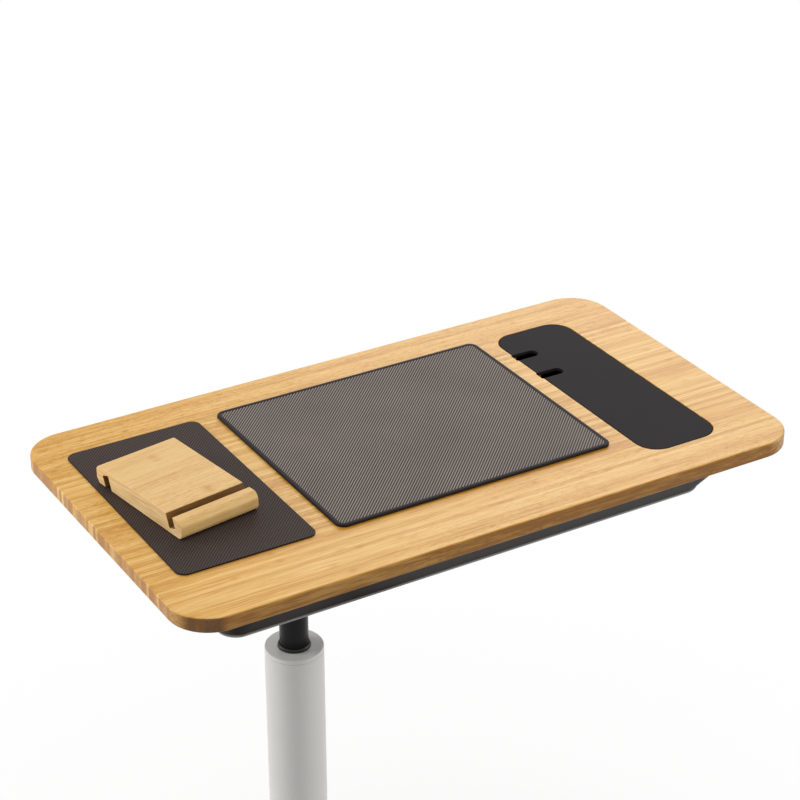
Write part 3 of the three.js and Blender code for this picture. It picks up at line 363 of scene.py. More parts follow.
# %% Put a piece in the scene
def show(name, mesh, finishes, body, slot, nodes=(), bevel=0.0, bevel_steps=3, over=50,
         crease=40):
    """Puts a piece in the scene, eases its hard edges and lets it ride on a body."""
    piece = bpy.data.objects.new(name, mesh)
    scene.collection.objects.link(piece)
    for finish in finishes if isinstance(finishes, (list, tuple)) else [finishes]:
        mesh.materials.append(finish)
    mesh.shade_smooth()
    if bevel:
        edge = piece.modifiers.new("eased_edges", "BEVEL")
        edge.width, edge.segments = bevel * MM, bevel_steps
        edge.limit_method, edge.angle_limit = "ANGLE", math.radians(over)
        edge.use_clamp_overlap = True
    else:
        mesh.set_sharp_from_angle(angle=math.radians(crease))
    even = piece.modifiers.new("even_shading", "WEIGHTED_NORMAL")
    even.keep_sharp = True
    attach(piece, body)
    if nodes:
        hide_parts(*nodes)
    print(name, "-", len(mesh.vertices), "points, rides on", body)


print("pieces can be shown")

# %% [markdown]
# ## Bamboo
# The board is glued up from upright bamboo strips some 5.5 mm wide that run from left to
# right. Each has its own tone, long fibres, short dashes, a few dark streaks, and a
# knuckle every 30 cm or so. All is counted in metres, so the grain keeps its scale: the
# strip that a point is in comes from its y, and a random share from the strip's number.
# Cut across, at the ends, the strips differ more.

# %% Grain
# Each kind of mark: its waves per metre along, across and down, and its weight.
BAND_WAVES, BANDS = (2.2, 150.0, 80.0), 0.62
DASH_WAVES, DASHES = (30.0, 640.0, 420.0), 1.4
FIBRE_WAVES, FIBRES = (20.0, 1500.0, 1100.0), 0.9
STREAK_WAVES, STREAKS = (5.0, 330.0, 260.0), 0.3
FLECK_WAVES, FLECKS = (120.0, 640.0, 400.0), 0.42
DRIFT_WAVES = (2.6, 9.0, 5.0)
KNUCKLE_SPACING, KNUCKLES = 0.29, 0.24
SEAMS, FRONT_MARKS = 0.06, 1.2
WANDER_SHARE, STRIP_SHIFT = 0.3, 3.0


def grain_marks(finish, where, strip, ends, sawn_along):
    """Two random shares of the strip that a point is in, and every mark on it."""
    x, y, z = finish.axes(where)
    wander = finish.noise(where, 2.0) * (strip * WANDER_SHARE)
    lane = (y + wander) / strip
    number = lane.floor()
    tone = finish.chance(number)
    other = finish.chance(number + 71.3)
    along = x + tone * STRIP_SHIFT * (1.0 - ends) if sawn_along else x + tone * STRIP_SHIFT
    across = y * (1.0 - ends * 0.96) if sawn_along else y
    own = finish.add("ShaderNodeCombineXYZ", None, {0: along, 1: across, 2: z})
    bands = finish.noise(own, 1.0, BAND_WAVES)
    dashes = finish.noise(own, 1.0, DASH_WAVES, 3.0, 0.62)
    fibre = finish.noise(own, 1.0, FIBRE_WAVES, 2.0, 0.6)
    streaks = finish.noise(own, 1.0, STREAK_WAVES, 1.0, 0.4)
    streaks = ((0.37 - streaks) * 9.0).clamped()
    drift = finish.noise(where, 1.0, DRIFT_WAVES)
    flecks = finish.noise(own, 1.0, FLECK_WAVES, 2.0, 0.6)
    flecks = ((flecks - 0.52) * 8.0).clamped() * ((drift - 0.42) * 7.0).clamped()
    knuckle = (x / KNUCKLE_SPACING + tone * 3.7 + other * 5.1).fraction()
    knuckle = (1.0 - abs(knuckle - 0.5) * 40.0).clamped() * (other > 0.35)
    seam = (1.0 - (abs((lane - number) - 0.5) * -2.0 + 1.0) * 9.0).clamped()
    return tone, other, bands, dashes, fibre, streaks, flecks, knuckle, seam


print("grain has knuckles every", KNUCKLE_SPACING, "m")


# %% Mix the bamboo
def bamboo(name, strip, tones, strip_contrast, end_contrast, gloss, grain=1.0, turn=0.0,
           sawn_along=False):
    """Glued strips; a board sawn along shows long grain on its sides, too."""
    deep, middle, light, pale, side_shading_deep, side_shading_pale, end_brown, corner_shading_tone = tones
    finish = Finish(name)
    where = finish.place()
    if turn:
        where = finish.add("ShaderNodeVectorRotate", {"rotation_type": "Z_AXIS"},
                           {"Vector": where, "Angle": -turn})
    face_x, face_y, _ = finish.facing()
    ends = ((abs(face_x) - 0.5) * 3.0).clamped()
    fronts = ((abs(face_y) - 0.45) * 3.0).clamped()
    tone, other, bands, dashes, fibre, streaks, flecks, knuckle, seam = grain_marks(
        finish, where, strip, ends, sawn_along)
    share = (0.50 + (tone - 0.5) * (strip_contrast + ends * end_contrast)
             + (bands - 0.5) * (BANDS * grain) + (dashes - 0.5) * (DASHES * grain)
             + (fibre - 0.5) * (FIBRES * grain)
             + (bands + dashes * 1.5 - 1.25) * fronts * FRONT_MARKS
             - streaks * (STREAKS * grain) - flecks * (FLECKS * grain)
             - knuckle * KNUCKLES - seam * SEAMS)
    share = share.clamped()
    colour = finish.ramp(share, [(0.04, deep), (0.34, middle), (0.60, light), (0.94, pale)])
    # Faces towards front and back blend to the side tones: painted shade on the board's front,
    # painted light on the block's nose.
    edge = finish.ramp(share, [(0.1, side_shading_deep), (0.9, side_shading_pale)])
    colour = finish.blend(fronts * 0.9, colour, edge)
    # Rounded corners facing left take the corner tone, which is painted shade on the board.
    corner_shading_mask = ((-0.08 - face_x) * 5.0).clamped() * ((abs(face_y) - 0.3) * 4.0).clamped()
    colour = finish.blend(corner_shading_mask * 0.8, colour, corner_shading_tone)
    patchy = ((dashes - 0.46) * 8.0).clamped()
    cut_across = ends if sawn_along else ends * (other > 0.3)
    colour = finish.blend(cut_across * (0.35 + patchy * 0.5), colour, end_brown)
    relief = finish.relief(fibre * 0.6 + dashes * 0.4 - seam * 0.2, 0.00022, 0.2)
    return finish.skin(Base_Color=colour, Roughness=(gloss + (fibre - 0.5) * 0.14),
                       Normal=relief, Specular_IOR_Level=0.4)


# Tones: four for the top, two for the sides with painted shade, the end grain, and the left
# corners' painted shade.
BOARD_TONES = (ink(198, 134, 30), ink(217, 161, 62), ink(229, 178, 90), ink(240, 197, 120),
               ink(148, 96, 28), ink(188, 136, 62), ink(172, 104, 26), ink(96, 59, 18))
BOARD_STRIP = 0.0055
board_bamboo = bamboo("bamboo_board", BOARD_STRIP, BOARD_TONES, strip_contrast=0.50,
                      end_contrast=0.60, gloss=0.36)
print("the board's bamboo is mixed")

# %% [markdown]
# ## The board
# A slab with a small round-over all along its edge: one outline, stacked with slightly
# smaller rings at the lower and upper edge. The lid's recess, the cut-out below it and
# the two cable notches are carved out afterwards, because they cross each other and a
# Boolean finds the corners for us. A fine bevel then eases the cut edges.


# %% Carve a mesh
def carved(mesh, cutters):
    """The mesh with each cutter taken out of it."""
    body = bpy.data.objects.new("carving", mesh)
    scene.collection.objects.link(body)
    tools = []
    for cutter in cutters:
        tool = bpy.data.objects.new("cutter", cutter)
        scene.collection.objects.link(tool)
        carve = body.modifiers.new("carve", "BOOLEAN")
        carve.operation, carve.solver, carve.object = "DIFFERENCE", "EXACT", tool
        tools.append(tool)
    graph = bpy.context.evaluated_depsgraph_get()
    made = bpy.data.meshes.new_from_object(body.evaluated_get(graph))
    for thing in (body, *tools):
        bpy.data.objects.remove(thing)
    return made


print("meshes can be carved")

# %% Build the board
BOARD = (711, 402, 44)
BOARD_ROUND = 2.0
LID = (92.5, 302.5, 24)
LID_MIDDLE = (241.4, -1.7)
LID_GAP, LID_THICK, RECESS_SPARE, LEDGE = 0.9, 4.0, 0.3, 6.0
SLOT_WIDTH, SLOT_REACH = 14.0, 28.0
SLOT_PLACES = (48.5, 98.0)
NOTCH_DEPTH, NOTCH_OVERLAP, NOTCH_CORNER = 2.5, 6.0, 1.2
OVERRUN = 4.0
top = TOP / MM
board_bottom = board_low.z / MM
lid_left = LID_MIDDLE[0] - LID[0] / 2

slab = stacked("desktop_board", pad_rings(
    *BOARD, board_bottom, top, low_ease=BOARD_ROUND, high_ease=BOARD_ROUND, corner_steps=20))
recess = stacked("recess", pad_rings(
    LID[0] + LID_GAP * 2, LID[1] + LID_GAP * 2, LID[2] + LID_GAP,
    top - LID_THICK - RECESS_SPARE, top + OVERRUN, LID_MIDDLE, corner_steps=14))
inset = (LEDGE - LID_GAP) * 2
cut_out = stacked("cut_out", pad_rings(
    LID[0] - inset, LID[1] - inset, LID[2] - LEDGE, board_bottom - OVERRUN, top + OVERRUN,
    LID_MIDDLE, corner_steps=14))
notch = NOTCH_DEPTH + LEDGE + NOTCH_OVERLAP
notches = [stacked("notch", pad_rings(
    notch, SLOT_WIDTH, NOTCH_CORNER, board_bottom - OVERRUN, top + OVERRUN,
    (lid_left - NOTCH_DEPTH + notch / 2, place))) for place in SLOT_PLACES]
board_mesh = carved(slab, [recess, cut_out, *notches])
show("desktop_board", board_mesh, board_bamboo, "desk", "bamboo_board", ["desktop"],
     bevel=0.45, bevel_steps=2, over=55)

# %% [markdown]
# ## The cable lid
# A matt black panel that lies flush in the board and lifts out. Two slots run in from
# its left edge for cables. Its outline is one polygon with a round-ended bay at each
# slot, so that the thin walls of the slots are real.


# %% Mix the matt black
def moulding(name, colour, gloss, speck, cloudy=0.12, depth=0.00012, shine=0.25):
    """A moulded, painted or cast skin: clouds of tone, fine specks, a little relief."""
    finish = Finish(name)
    where = finish.place()
    clouds = finish.noise(where, 9.0, detail=3.0)
    grit = finish.noise(where, speck, roughness=0.6)
    pale = tuple(min(c * (1 + cloudy * 3) + 0.004, 1.0) for c in colour)
    deep = tuple(c * (1 - cloudy * 2) for c in colour)
    tint = finish.blend((clouds * 0.7 + grit * 0.3).clamped(), deep, pale)
    rough = gloss + (clouds - 0.5) * 0.10 + (grit - 0.5) * 0.08
    finish.skin(Base_Color=tint, Roughness=rough, Specular_IOR_Level=shine,
                Normal=finish.relief(grit, depth, 0.35))
    return finish


def moulded(*recipe, **more):
    return moulding(*recipe, **more).material


lid_black = moulded("lid_black", ink(37, 34, 35), 0.6, 600, 0.24, shine=0.05)
print("the lid's black is mixed")


# %% Outlines and flat pieces
def eased(points, closed=True, steps=5):
    """A polygon of (x, y, radius) with each corner turned into an arc."""
    made = []
    count = len(points)
    for i, (x, y, radius) in enumerate(points):
        here = Vector((x, y))
        is_end = not closed and i in (0, count - 1)
        if radius <= 0 or is_end:
            made.append((x, y))
            continue
        back = (Vector(points[i - 1][:2]) - here).normalized()
        ahead = (Vector(points[(i + 1) % count][:2]) - here).normalized()
        half = back.angle(ahead) / 2
        reach = radius / math.tan(half)
        centre = here + (back + ahead).normalized() * (radius / math.sin(half))
        first = here + back * reach - centre
        sweep = first.angle_signed(here + ahead * reach - centre)
        for step in range(steps + 1):
            spoke = Matrix.Rotation(-sweep * step / steps, 2) @ first
            made.append(tuple(centre + spoke))
    return made


def prism(name, outline, low, high):
    """A flat outline given thickness along Z."""
    return stacked(name, [[(x, y, z) for x, y in outline] for z in (low, high)])


print("outlines can be eased and given thickness")

# %% Build the lid
MOUTH_ROUND = 0.8
corner = LID[2]
lid_right = lid_left + LID[0]
lid_front = LID_MIDDLE[1] - LID[1] / 2
lid_back = lid_front + LID[1]
slot_end_x, slot_round = lid_left + SLOT_REACH, SLOT_WIDTH / 2 - 0.05
lid_points = [(lid_right, lid_front, corner), (lid_right, lid_back, corner),
              (lid_left, lid_back, corner)]
for place in reversed(SLOT_PLACES):
    for side in (1, -1):
        edge = place + side * SLOT_WIDTH / 2
        mouth, end = (lid_left, edge, MOUTH_ROUND), (slot_end_x, edge, slot_round)
        lid_points += [mouth, end] if side > 0 else [end, mouth]
lid_points.append((lid_left, lid_front, corner))
lid_outline = eased(lid_points, steps=10)
show("cable_lid_panel", prism("cable_lid_panel", lid_outline, top - LID_THICK, top), lid_black,
     "lid", "lid_black", ["cable_lid"], bevel=0.45, over=60)

# %% [markdown]
# ## The mats
# Both mats show a twill: floats that step sideways line by line, so the eye sees
# diagonal ribs from front left to back right, 2.7 mm apart. On the larger mat the ribs
# catch the light and a smooth rim runs round them. The rib is a rounded wave across the
# diagonal, broken up along it where one float ends and the next begins.

# %% Mix the twill
RIB_PITCH, FLOAT_LENGTH = 0.00268, 0.0017


def twill(name, ground, rib_colour, gloss, contrast):
    finish = Finish(name)
    where = finish.place()
    x, y, _ = finish.axes(where)
    across = (x - y) * (math.sqrt(0.5) / RIB_PITCH)
    along = (x + y) * math.sqrt(0.5)
    rib = ((across * math.tau).wave() * 0.5 + 0.5) ** 1.6
    number = across.floor()
    beads = ((along * (math.tau / FLOAT_LENGTH) + number * 2.1).wave() * 0.5 + 0.5)
    patch = finish.noise(where, 14.0)
    grit = finish.noise(where, 1500.0, detail=1.0)
    share = rib * (0.72 + beads * 0.28) * (0.75 + patch * 0.5) + (grit - 0.5) * 0.12
    colour = finish.blend((share * contrast).clamped(), ground, rib_colour)
    bump = finish.relief(rib * 0.8 + beads * rib * 0.2, 0.00035, 0.6)
    return finish.skin(Base_Color=colour, Roughness=gloss, Normal=bump,
                       Specular_IOR_Level=0.1)


laptop_twill = twill("laptop_mat_twill", ink(35, 30, 31), ink(166, 154, 145), 0.55, 1.05)
left_twill = twill("left_mat_twill", ink(46, 37, 35), ink(92, 80, 74), 0.62, 0.8)
mat_rim = moulded("mat_rim", ink(40, 34, 37), 0.5, 900, shine=0.07)
print("the twills have a rib every", RIB_PITCH / MM, "mm")


# %% Build the left mat
def level(node):
    """How high a solid's underside and top are."""
    low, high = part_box(node)
    return low.z / MM, high.z / MM


LEFT_MAT = (150, 268.5, 10.5)
LEFT_MIDDLE = (-249.3, 15.2)
left_mesh = stacked("left_mat_skin", pad_rings(
    *LEFT_MAT, *level("left_mat"), LEFT_MIDDLE, low_ease=0.2, high_ease=0.6, steps=4))
for face in left_mesh.polygons:
    face.material_index = 0 if face.normal.z > 0.999 else 1
show("left_mat_skin", left_mesh, [left_twill, mat_rim], "desk", "mat_weave", ["left_mat"])

# %% Build the laptop mat
LAPTOP_MAT = (324, 271, 10)
LAPTOP_MIDDLE = (9.5, 15)
RIM, RIM_ROUND, SINK, RIM_STEPS = 4.5, 0.9, 0.5, 4
mat_low, mat_top = level("laptop_mat")
laptop_rings = pad_rings(*LAPTOP_MAT, mat_low, mat_top, LAPTOP_MIDDLE, low_ease=0.4,
                         high_ease=1.3)
for step in range(RIM_STEPS + 1):
    turn = math.pi / 2 * step / RIM_STEPS
    margin = RIM - RIM_ROUND + RIM_ROUND * math.sin(turn)
    flat = round_rect(LAPTOP_MAT[0] - margin * 2, LAPTOP_MAT[1] - margin * 2,
                      LAPTOP_MAT[2] - margin, LAPTOP_MIDDLE)
    sunk = mat_top - SINK * (1 - math.cos(turn))
    laptop_rings.append([(x, y, sunk) for x, y in flat])
laptop_mesh = stacked("laptop_mat_skin", laptop_rings)
field = max(laptop_mesh.polygons, key=lambda f: f.area if f.normal.z > 0.9 else 0)
field.material_index = 1
show("laptop_mat_skin", laptop_mesh, [mat_rim, laptop_twill], "desk", "mat_weave",
     ["laptop_mat"])

# %% [markdown]
# ## The phone block
# A solid bamboo block that can be flipped over: each face has one leaning groove, and
# the nose beyond it is rounded like a thumb. The groove's walls are darker, painted
# shade in the recess. The side view is one outline that is the same upside down, so half
# of it is written and the other half is turned round. It stands a little askew on the mat.

# %% Mix the block's bamboo
# Tones: four for the top, two paler ones for the sides that paint light on the nose, a pale end
# and a pale corner tone.
BLOCK_TONES = (ink(200, 144, 78), ink(222, 176, 108), ink(234, 194, 126), ink(242, 208, 148),
               ink(238, 192, 118), ink(250, 210, 142), ink(252, 220, 168), ink(244, 200, 132))
# Darker tones for the groove's walls: painted shade in the recess.
GROOVE_SHADE_TONES = (ink(96, 62, 20), ink(118, 80, 28), ink(134, 94, 38), ink(150, 108, 48),
                ink(110, 74, 26), ink(138, 96, 36), ink(118, 80, 30), ink(118, 80, 30))
BLOCK_STRIP, BLOCK_TURN = 0.0140, math.radians(8.7)
block_bamboo = bamboo("bamboo_block", BLOCK_STRIP, BLOCK_TONES, 0.10, 0.0, 0.46, 0.55,
                      BLOCK_TURN, sawn_along=True)
groove_shaded_bamboo = bamboo("bamboo_groove", BLOCK_STRIP, GROOVE_SHADE_TONES, 0.10, 0.0, 0.6, 0.6,
                       BLOCK_TURN)
# The second bamboo paints shade into the grooves.
print("the block's bamboo is mixed, plain and shaded_in_the_grooves")


# %% Outline the phone block
def moved(mesh, matrix):
    mesh.transform(matrix)
    return mesh


def shift(x, y, z):
    return Matrix.Translation((x * MM, y * MM, z * MM))


STAND_CORNER = (-294.9, -64.5)
STAND_SIZE = (92.0, 150.0, 19.9)
GROOVE, MOUTH, GROOVE_FLOOR, LEAN = 16.0, 10.9, 4.9, math.radians(20.5)
LIP_ROUND, FLOOR_ROUND = 1.0, 0.7
stand_low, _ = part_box("phone_stand")
lean = math.tan(LEAN)
floor_rise = MOUTH * math.cos(LEAN) * math.sin(LEAN)
_, length, thick = STAND_SIZE
nose_points = [(4.6, thick, 4.0), (0.5, 14.1, 6.0), (0.0, 0.0, 6.5)]
half_side = [
    (GROOVE + MOUTH, thick, LIP_ROUND),
    (GROOVE + MOUTH - (thick - GROOVE_FLOOR) * lean, GROOVE_FLOOR, FLOOR_ROUND),
    (GROOVE - (thick - GROOVE_FLOOR - floor_rise) * lean, GROOVE_FLOOR + floor_rise,
     FLOOR_ROUND),
    (GROOVE, thick, LIP_ROUND), *nose_points]
whole_side = half_side + [(length - y, thick - z, ease) for y, z, ease in half_side]
print("the block's side has", len(whole_side), "corners")


# %% Build the phone block
def in_groove(y, z):
    """Whether a point of the side view is on a wall or the floor of the first groove."""
    ahead = GROOVE - (thick - z) * lean
    return GROOVE_FLOOR - 0.1 < z < thick - 0.9 and ahead - 0.3 < y < ahead + MOUTH + 0.3


block = prism("phone_block", eased(whole_side, steps=7), 0, STAND_SIZE[0])
for face in block.polygons:
    y, z = face.center.x / MM, face.center.y / MM
    walls = in_groove(y, z) or in_groove(length - y, thick - z)
    face.material_index = 1 if walls and abs(face.normal.z) < 0.5 else 0
upright = Matrix(((0, 0, 1, 0), (1, 0, 0, 0), (0, 1, 0, 0), (0, 0, 0, 1)))
stand_place = (shift(*STAND_CORNER, stand_low.z / MM)
               @ Matrix.Rotation(BLOCK_TURN, 4, "Z") @ upright)
show("phone_block", moved(block, stand_place), [block_bamboo, groove_shaded_bamboo], "stand",
     "bamboo_block", ["phone_stand"], bevel=1.1, bevel_steps=4, over=60)

# %% [markdown]
# ## The cable tray
# A pan pressed from thin steel and powder coated: drafted walls, a soft radius round
# the floor, and a flange that is screwed up under the board. Because it is one sheet of
# even thickness, the rings go up the outside, over the flange and down the inside. The
# radius is rubbed smoother than the walls, so a coat gives it a pale sheen.

# %% Outline the tray
FLOOR_HALF = (286.0, 134.5)
TRAY_CORNER, DRAFT, FLANGE, SHEET, FOOT_ROUND = 22.0, 46.0, 13.0, 1.5, 5.5
EDGE_EASE, FOOT_STEPS = 0.4, 8
tray_low, tray_high = level("tray")
flange_under = tray_high - SHEET


def tray_ring(grow, height):
    flat = round_rect((FLOOR_HALF[0] + grow) * 2, (FLOOR_HALF[1] + grow) * 2,
                      TRAY_CORNER + grow, steps=16)
    return [(x, y, height) for x, y in flat]


def tray_foot(radius, wall, floor_height):
    rings = []
    for step in range(FOOT_STEPS + 1):
        turn = math.pi / 2 * step / FOOT_STEPS
        rings.append(tray_ring(wall - radius + radius * math.sin(turn),
                               floor_height + radius * (1 - math.cos(turn))))
    return rings


inner_foot = tray_foot(FOOT_ROUND - SHEET, -SHEET, tray_low + SHEET)
rim = DRAFT + FLANGE
tray_rings = [
    *tray_foot(FOOT_ROUND, 0.0, tray_low),
    tray_ring(DRAFT, flange_under), tray_ring(rim - EDGE_EASE, flange_under),
    tray_ring(rim, flange_under + EDGE_EASE), tray_ring(rim, tray_high - EDGE_EASE),
    tray_ring(rim - EDGE_EASE, tray_high), tray_ring(DRAFT - SHEET, tray_high),
    *reversed(inner_foot)]
print("the tray is", len(tray_rings), "rings")

# %% Build the tray
SHEEN_HEIGHT = 7.0
tray_finish = moulding("tray_black", ink(33, 22, 17), 0.32, 700, 0.08, 0.0001, shine=0.012)
_, _, z = tray_finish.axes(tray_finish.place())
above = z - tray_low * MM
sheen = (above * 2500.0).clamped() * ((SHEEN_HEIGHT * MM - above) * 290.0).clamped()
tray_black = tray_finish.skin(Coat_Weight=sheen, Coat_Roughness=0.25, Coat_IOR=2.3)
show("tray_pan", stacked("tray_pan", tray_rings), tray_black, "desk", "tray_black", ["tray"],
     crease=50)

# %% [markdown]
# ## The tray's screws
# Pan heads hold the flange all round. One head is turned, its cross is carved out, and
# copies of it are joined into a single piece, since they never move apart.


# %% Mix the zinc
def metal(name, colour, gloss, brushed=(1, 1, 1), spots=0.0):
    """A bare metal: a little grime in the tone, and fine lines where it is brushed."""
    finish = Finish(name)
    where = finish.place()
    lines = finish.noise(where, 320.0, brushed, 3.0, 0.6)
    bloom = finish.noise(where, 45.0, detail=3.0, roughness=0.6)
    tint = finish.blend((bloom * (0.35 + spots)).clamped(), colour,
                        tuple(c * 0.62 for c in colour))
    return finish.skin(Base_Color=tint, Metallic=1.0,
                       Roughness=gloss + (bloom - 0.5) * 0.25 + (lines - 0.5) * 0.15,
                       Normal=finish.relief(lines, 0.0001, 0.25))


zinc = metal("zinc_plate", ink(190, 193, 196), 0.36, spots=0.3)
print("zinc is mixed")


# %% Screw the tray to the board
def turned(name, profile, segments=72):
    """Turns a closed profile of (radius, height) about Z."""
    rings = []
    for step in range(segments):
        turn = math.tau * step / segments
        rings.append([(r * math.cos(turn), r * math.sin(turn), z) for r, z in profile])
    return stacked(name, rings, loop=True)


def joined(name, meshes):
    """Several meshes as one; they may touch."""
    builder = bmesh.new()
    for mesh in meshes:
        builder.from_mesh(mesh)
    made = bpy.data.meshes.new(name)
    builder.to_mesh(made)
    builder.free()
    return made


HEAD, HEAD_RISE = 3.7, 2.3
DRIVE, DRIVE_ROUND, DRIVE_FLOOR, ARM_SHARE = 4.5, 0.2, 0.9, 0.26
head_profile = eased([(0, 0, 0), (HEAD, 0, 0.3), (HEAD * 0.8, -HEAD_RISE, 1.2),
                      (0, -HEAD_RISE, 0)])
arms = [prism("arm", round_rect(DRIVE * a, DRIVE * b, DRIVE_ROUND, steps=2),
              -HEAD_RISE - 1, -DRIVE_FLOOR) for a, b in ((1, ARM_SHARE), (ARM_SHARE, 1))]
head = carved(turned("screw_head", head_profile, 32), arms)
line_x, line_y = (half + DRAFT + FLANGE / 2 for half in FLOOR_HALF)
screw_places = [(x, y) for x in range(-250, 251, 100) for y in (-line_y, line_y)]
screw_places += [(x, y) for x in (-line_x, line_x) for y in (-95, 0, 95)]
screws = [moved(head.copy(), shift(x, y, flange_under)) for x, y in screw_places]
show("tray_screw_heads", joined("tray_screw_heads", screws), zinc, "desk", "zinc", crease=35)

# %% [markdown]
# ## The column
# The pole is the gas lift's own cylinder, painted gloss black. It dives into a pale grey
# tube through a moulded sleeve, whose collar stands up round it, and a pale cap ring
# closes the tube. All of them are turned pieces: a closed profile of radius and height.

# %% Turn the pole
COLUMN_X = -143.0
POLE, POLE_WALL = 15.4, 1.8
PIN_BORE, POLE_LID = 3.45, 6.0


def show_on_column(name, profile, finish, body, slot, node):
    mesh = moved(turned(name, profile, 96), shift(COLUMN_X, 0, 0))
    show(name, mesh, finish, body, slot, [node])


pole_black = moulded("pole_black", ink(20, 18, 18), 0.28, 500, 0.05, 0.00005, shine=0.14)
pole_low, pole_high = level("gas_cylinder")
pole_profile = eased([
    (POLE - POLE_WALL, pole_low, 0.5), (POLE, pole_low, 0.8), (POLE, pole_high, 1.2),
    (PIN_BORE, pole_high, 0), (PIN_BORE, pole_high - POLE_LID, 0),
    (POLE - POLE_WALL, pole_high - POLE_LID, 0.5)])
show_on_column("gas_lift_pole", pole_profile, pole_black, "desk", "pole_black", "gas_cylinder")

# %% Turn the tube and its cap
COLUMN, COLUMN_WALL, CAP_BORE = 31.5, 2.0, 17.35
pale_grey = moulded("pale_grey", ink(240, 238, 234), 0.42, 700, 0.03, 0.0002)
tube_low, tube_high = level("outer_column")
bore = COLUMN - COLUMN_WALL
tube_profile = eased([(bore, tube_low, 0.3), (COLUMN, tube_low, 0.4),
                      (COLUMN, tube_high, 0.4), (bore, tube_high, 0.3)])
show_on_column("outer_column_tube", tube_profile, pale_grey, "base", "pale_grey",
               "outer_column")
cap_low, cap_high = level("column_cap")
cap_profile = eased([(CAP_BORE, cap_low, 0.2), (COLUMN, cap_low, 0.4),
                     (COLUMN, cap_high, 1.2), (CAP_BORE, cap_high, 0.4)])
show_on_column("column_cap_ring", cap_profile, pale_grey, "base", "pale_grey", "column_cap")

# %% Turn the sleeve
SLEEVE_BORE, SLEEVE_RING, SLEEVE_WAIST, COLLAR = 15.85, 18.0, 18.85, 17.05
SLEEVE_GAP, LIP, LIP_RISE, LIP_TOP = 0.3, 17.7, 1.4, 16.3
moulded_black = moulded("moulded_black", ink(33, 33, 34), 0.48, 1400)
sleeve_low, sleeve_high = level("guide_sleeve")
ring_out, ring_top = bore - SLEEVE_GAP, tube_high - SLEEVE_GAP
sleeve_profile = eased([
    (SLEEVE_BORE, sleeve_low, 0.4), (ring_out, sleeve_low, 0.6),
    (ring_out, sleeve_low + SLEEVE_RING, 0.6), (SLEEVE_WAIST, sleeve_low + SLEEVE_RING, 0.6),
    (SLEEVE_WAIST, ring_top - SLEEVE_RING, 0.6), (ring_out, ring_top - SLEEVE_RING, 0.6),
    (ring_out, ring_top, 0.4), (COLLAR, ring_top, 0.2),
    (COLLAR, cap_high + 0.1, 0.1), (LIP, cap_high + LIP_RISE, 1.2),
    (LIP_TOP, sleeve_high, 0.8),
    (SLEEVE_BORE, sleeve_high, 0.15)])
show_on_column("guide_sleeve_collar", sleeve_profile, moulded_black, "base", "moulded_black",
               "guide_sleeve")

# %% [markdown]
# ## The base
# The photograph stops at the column's head, so the base is a usual one: rectangular
# steel tubes, open towards the rider, on four swivel casters of which the front two
# have brakes. Welded joints get a rippled bead, cut tubes get moulded plugs.

# %% Build the rails
RAIL_WIDTH, RAIL_HEIGHT, RAIL_CORNER, RAIL_WALL = 60.0, 30.0, 4.0, 2.0
base_black = moulded("base_black", ink(36, 36, 37), 0.40, 650, 0.10, 0.0002)


def rail_mesh(name, length):
    outer = round_rect(RAIL_WIDTH, RAIL_HEIGHT, RAIL_CORNER, steps=6)
    inner = round_rect(RAIL_WIDTH - RAIL_WALL * 2, RAIL_HEIGHT - RAIL_WALL * 2,
                       RAIL_CORNER - RAIL_WALL, steps=6)
    rings = []
    for outline, end in ((outer, -1), (outer, 1), (inner, 1), (inner, -1)):
        rings.append([(x, end * length / 2, z) for x, z in outline])
    return stacked(name, rings, loop=True)


for node in ("base_left_rail", "base_right_rail", "base_rear_rail"):
    low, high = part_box(node)
    size = (high - low) / MM
    across = node == "base_rear_rail"
    made = rail_mesh(node + "_tube", size.x if across else size.y)
    turn = Matrix.Rotation(math.pi / 2, 4, "Z") if across else Matrix.Identity(4)
    show(node + "_tube", moved(made, Matrix.Translation((low + high) / 2) @ turn), base_black,
         "base", "base_black", [node])

# %% Weld the rear rail
RIPPLE, RIPPLE_POINTS, BEAD_SIDES = 0.16, 5, 10
RAIL_BEAD, BEAD_SPACING, BEAD_SINK, BEAD_SHORT = 1.7, 0.9, 0.2, 1.0


def weld(name, path, radius):
    """A weld bead: a closed round bar whose thickness ripples along its path."""
    points = [Vector(p) for p in path]
    count = len(points)
    waves = count // RIPPLE_POINTS
    rings = []
    for i, point in enumerate(points):
        along = (points[(i + 1) % count] - points[i - 1]).normalized()
        side = side - along * side.dot(along) if rings else along.orthogonal()
        side = side.normalized()
        up = along.cross(side)
        here = radius * (1 + RIPPLE * math.sin(math.tau * waves * i / count))
        turns = [math.tau * s / BEAD_SIDES for s in range(BEAD_SIDES)]
        rings.append([point + side * here * math.cos(turn) + up * here * math.sin(turn)
                      for turn in turns])
    show(name, stacked(name, rings, loop=True), base_black, "base", "base_black")


def even_path(points, spacing):
    """Points at even steps round a closed path."""
    made = []
    for i, start in enumerate(points):
        start, end = Vector(start), Vector(points[(i + 1) % len(points)])
        steps = max(1, round((end - start).length / spacing))
        made += [start.lerp(end, step / steps) for step in range(steps)]
    return made


rear_low, rear_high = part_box("base_rear_rail")
rail_middle = (rear_low + rear_high) / 2 / MM
section = round_rect(RAIL_WIDTH, RAIL_HEIGHT - BEAD_SHORT, RAIL_CORNER)
edges = {"left": rear_low.x / MM - BEAD_SINK, "right": rear_high.x / MM + BEAD_SINK}
for side, edge in edges.items():
    loop = [(edge, rail_middle.y + u, rail_middle.z + v) for u, v in section]
    weld("rear_weld_" + side, even_path(loop, BEAD_SPACING), RAIL_BEAD)

# %% [markdown]
# ## Small fittings
# Plugs, bolts, the hub, the bracket and the lever already have their right shape as
# solids. Each is copied, its flat faces are made whole again, and a bevel eases it.


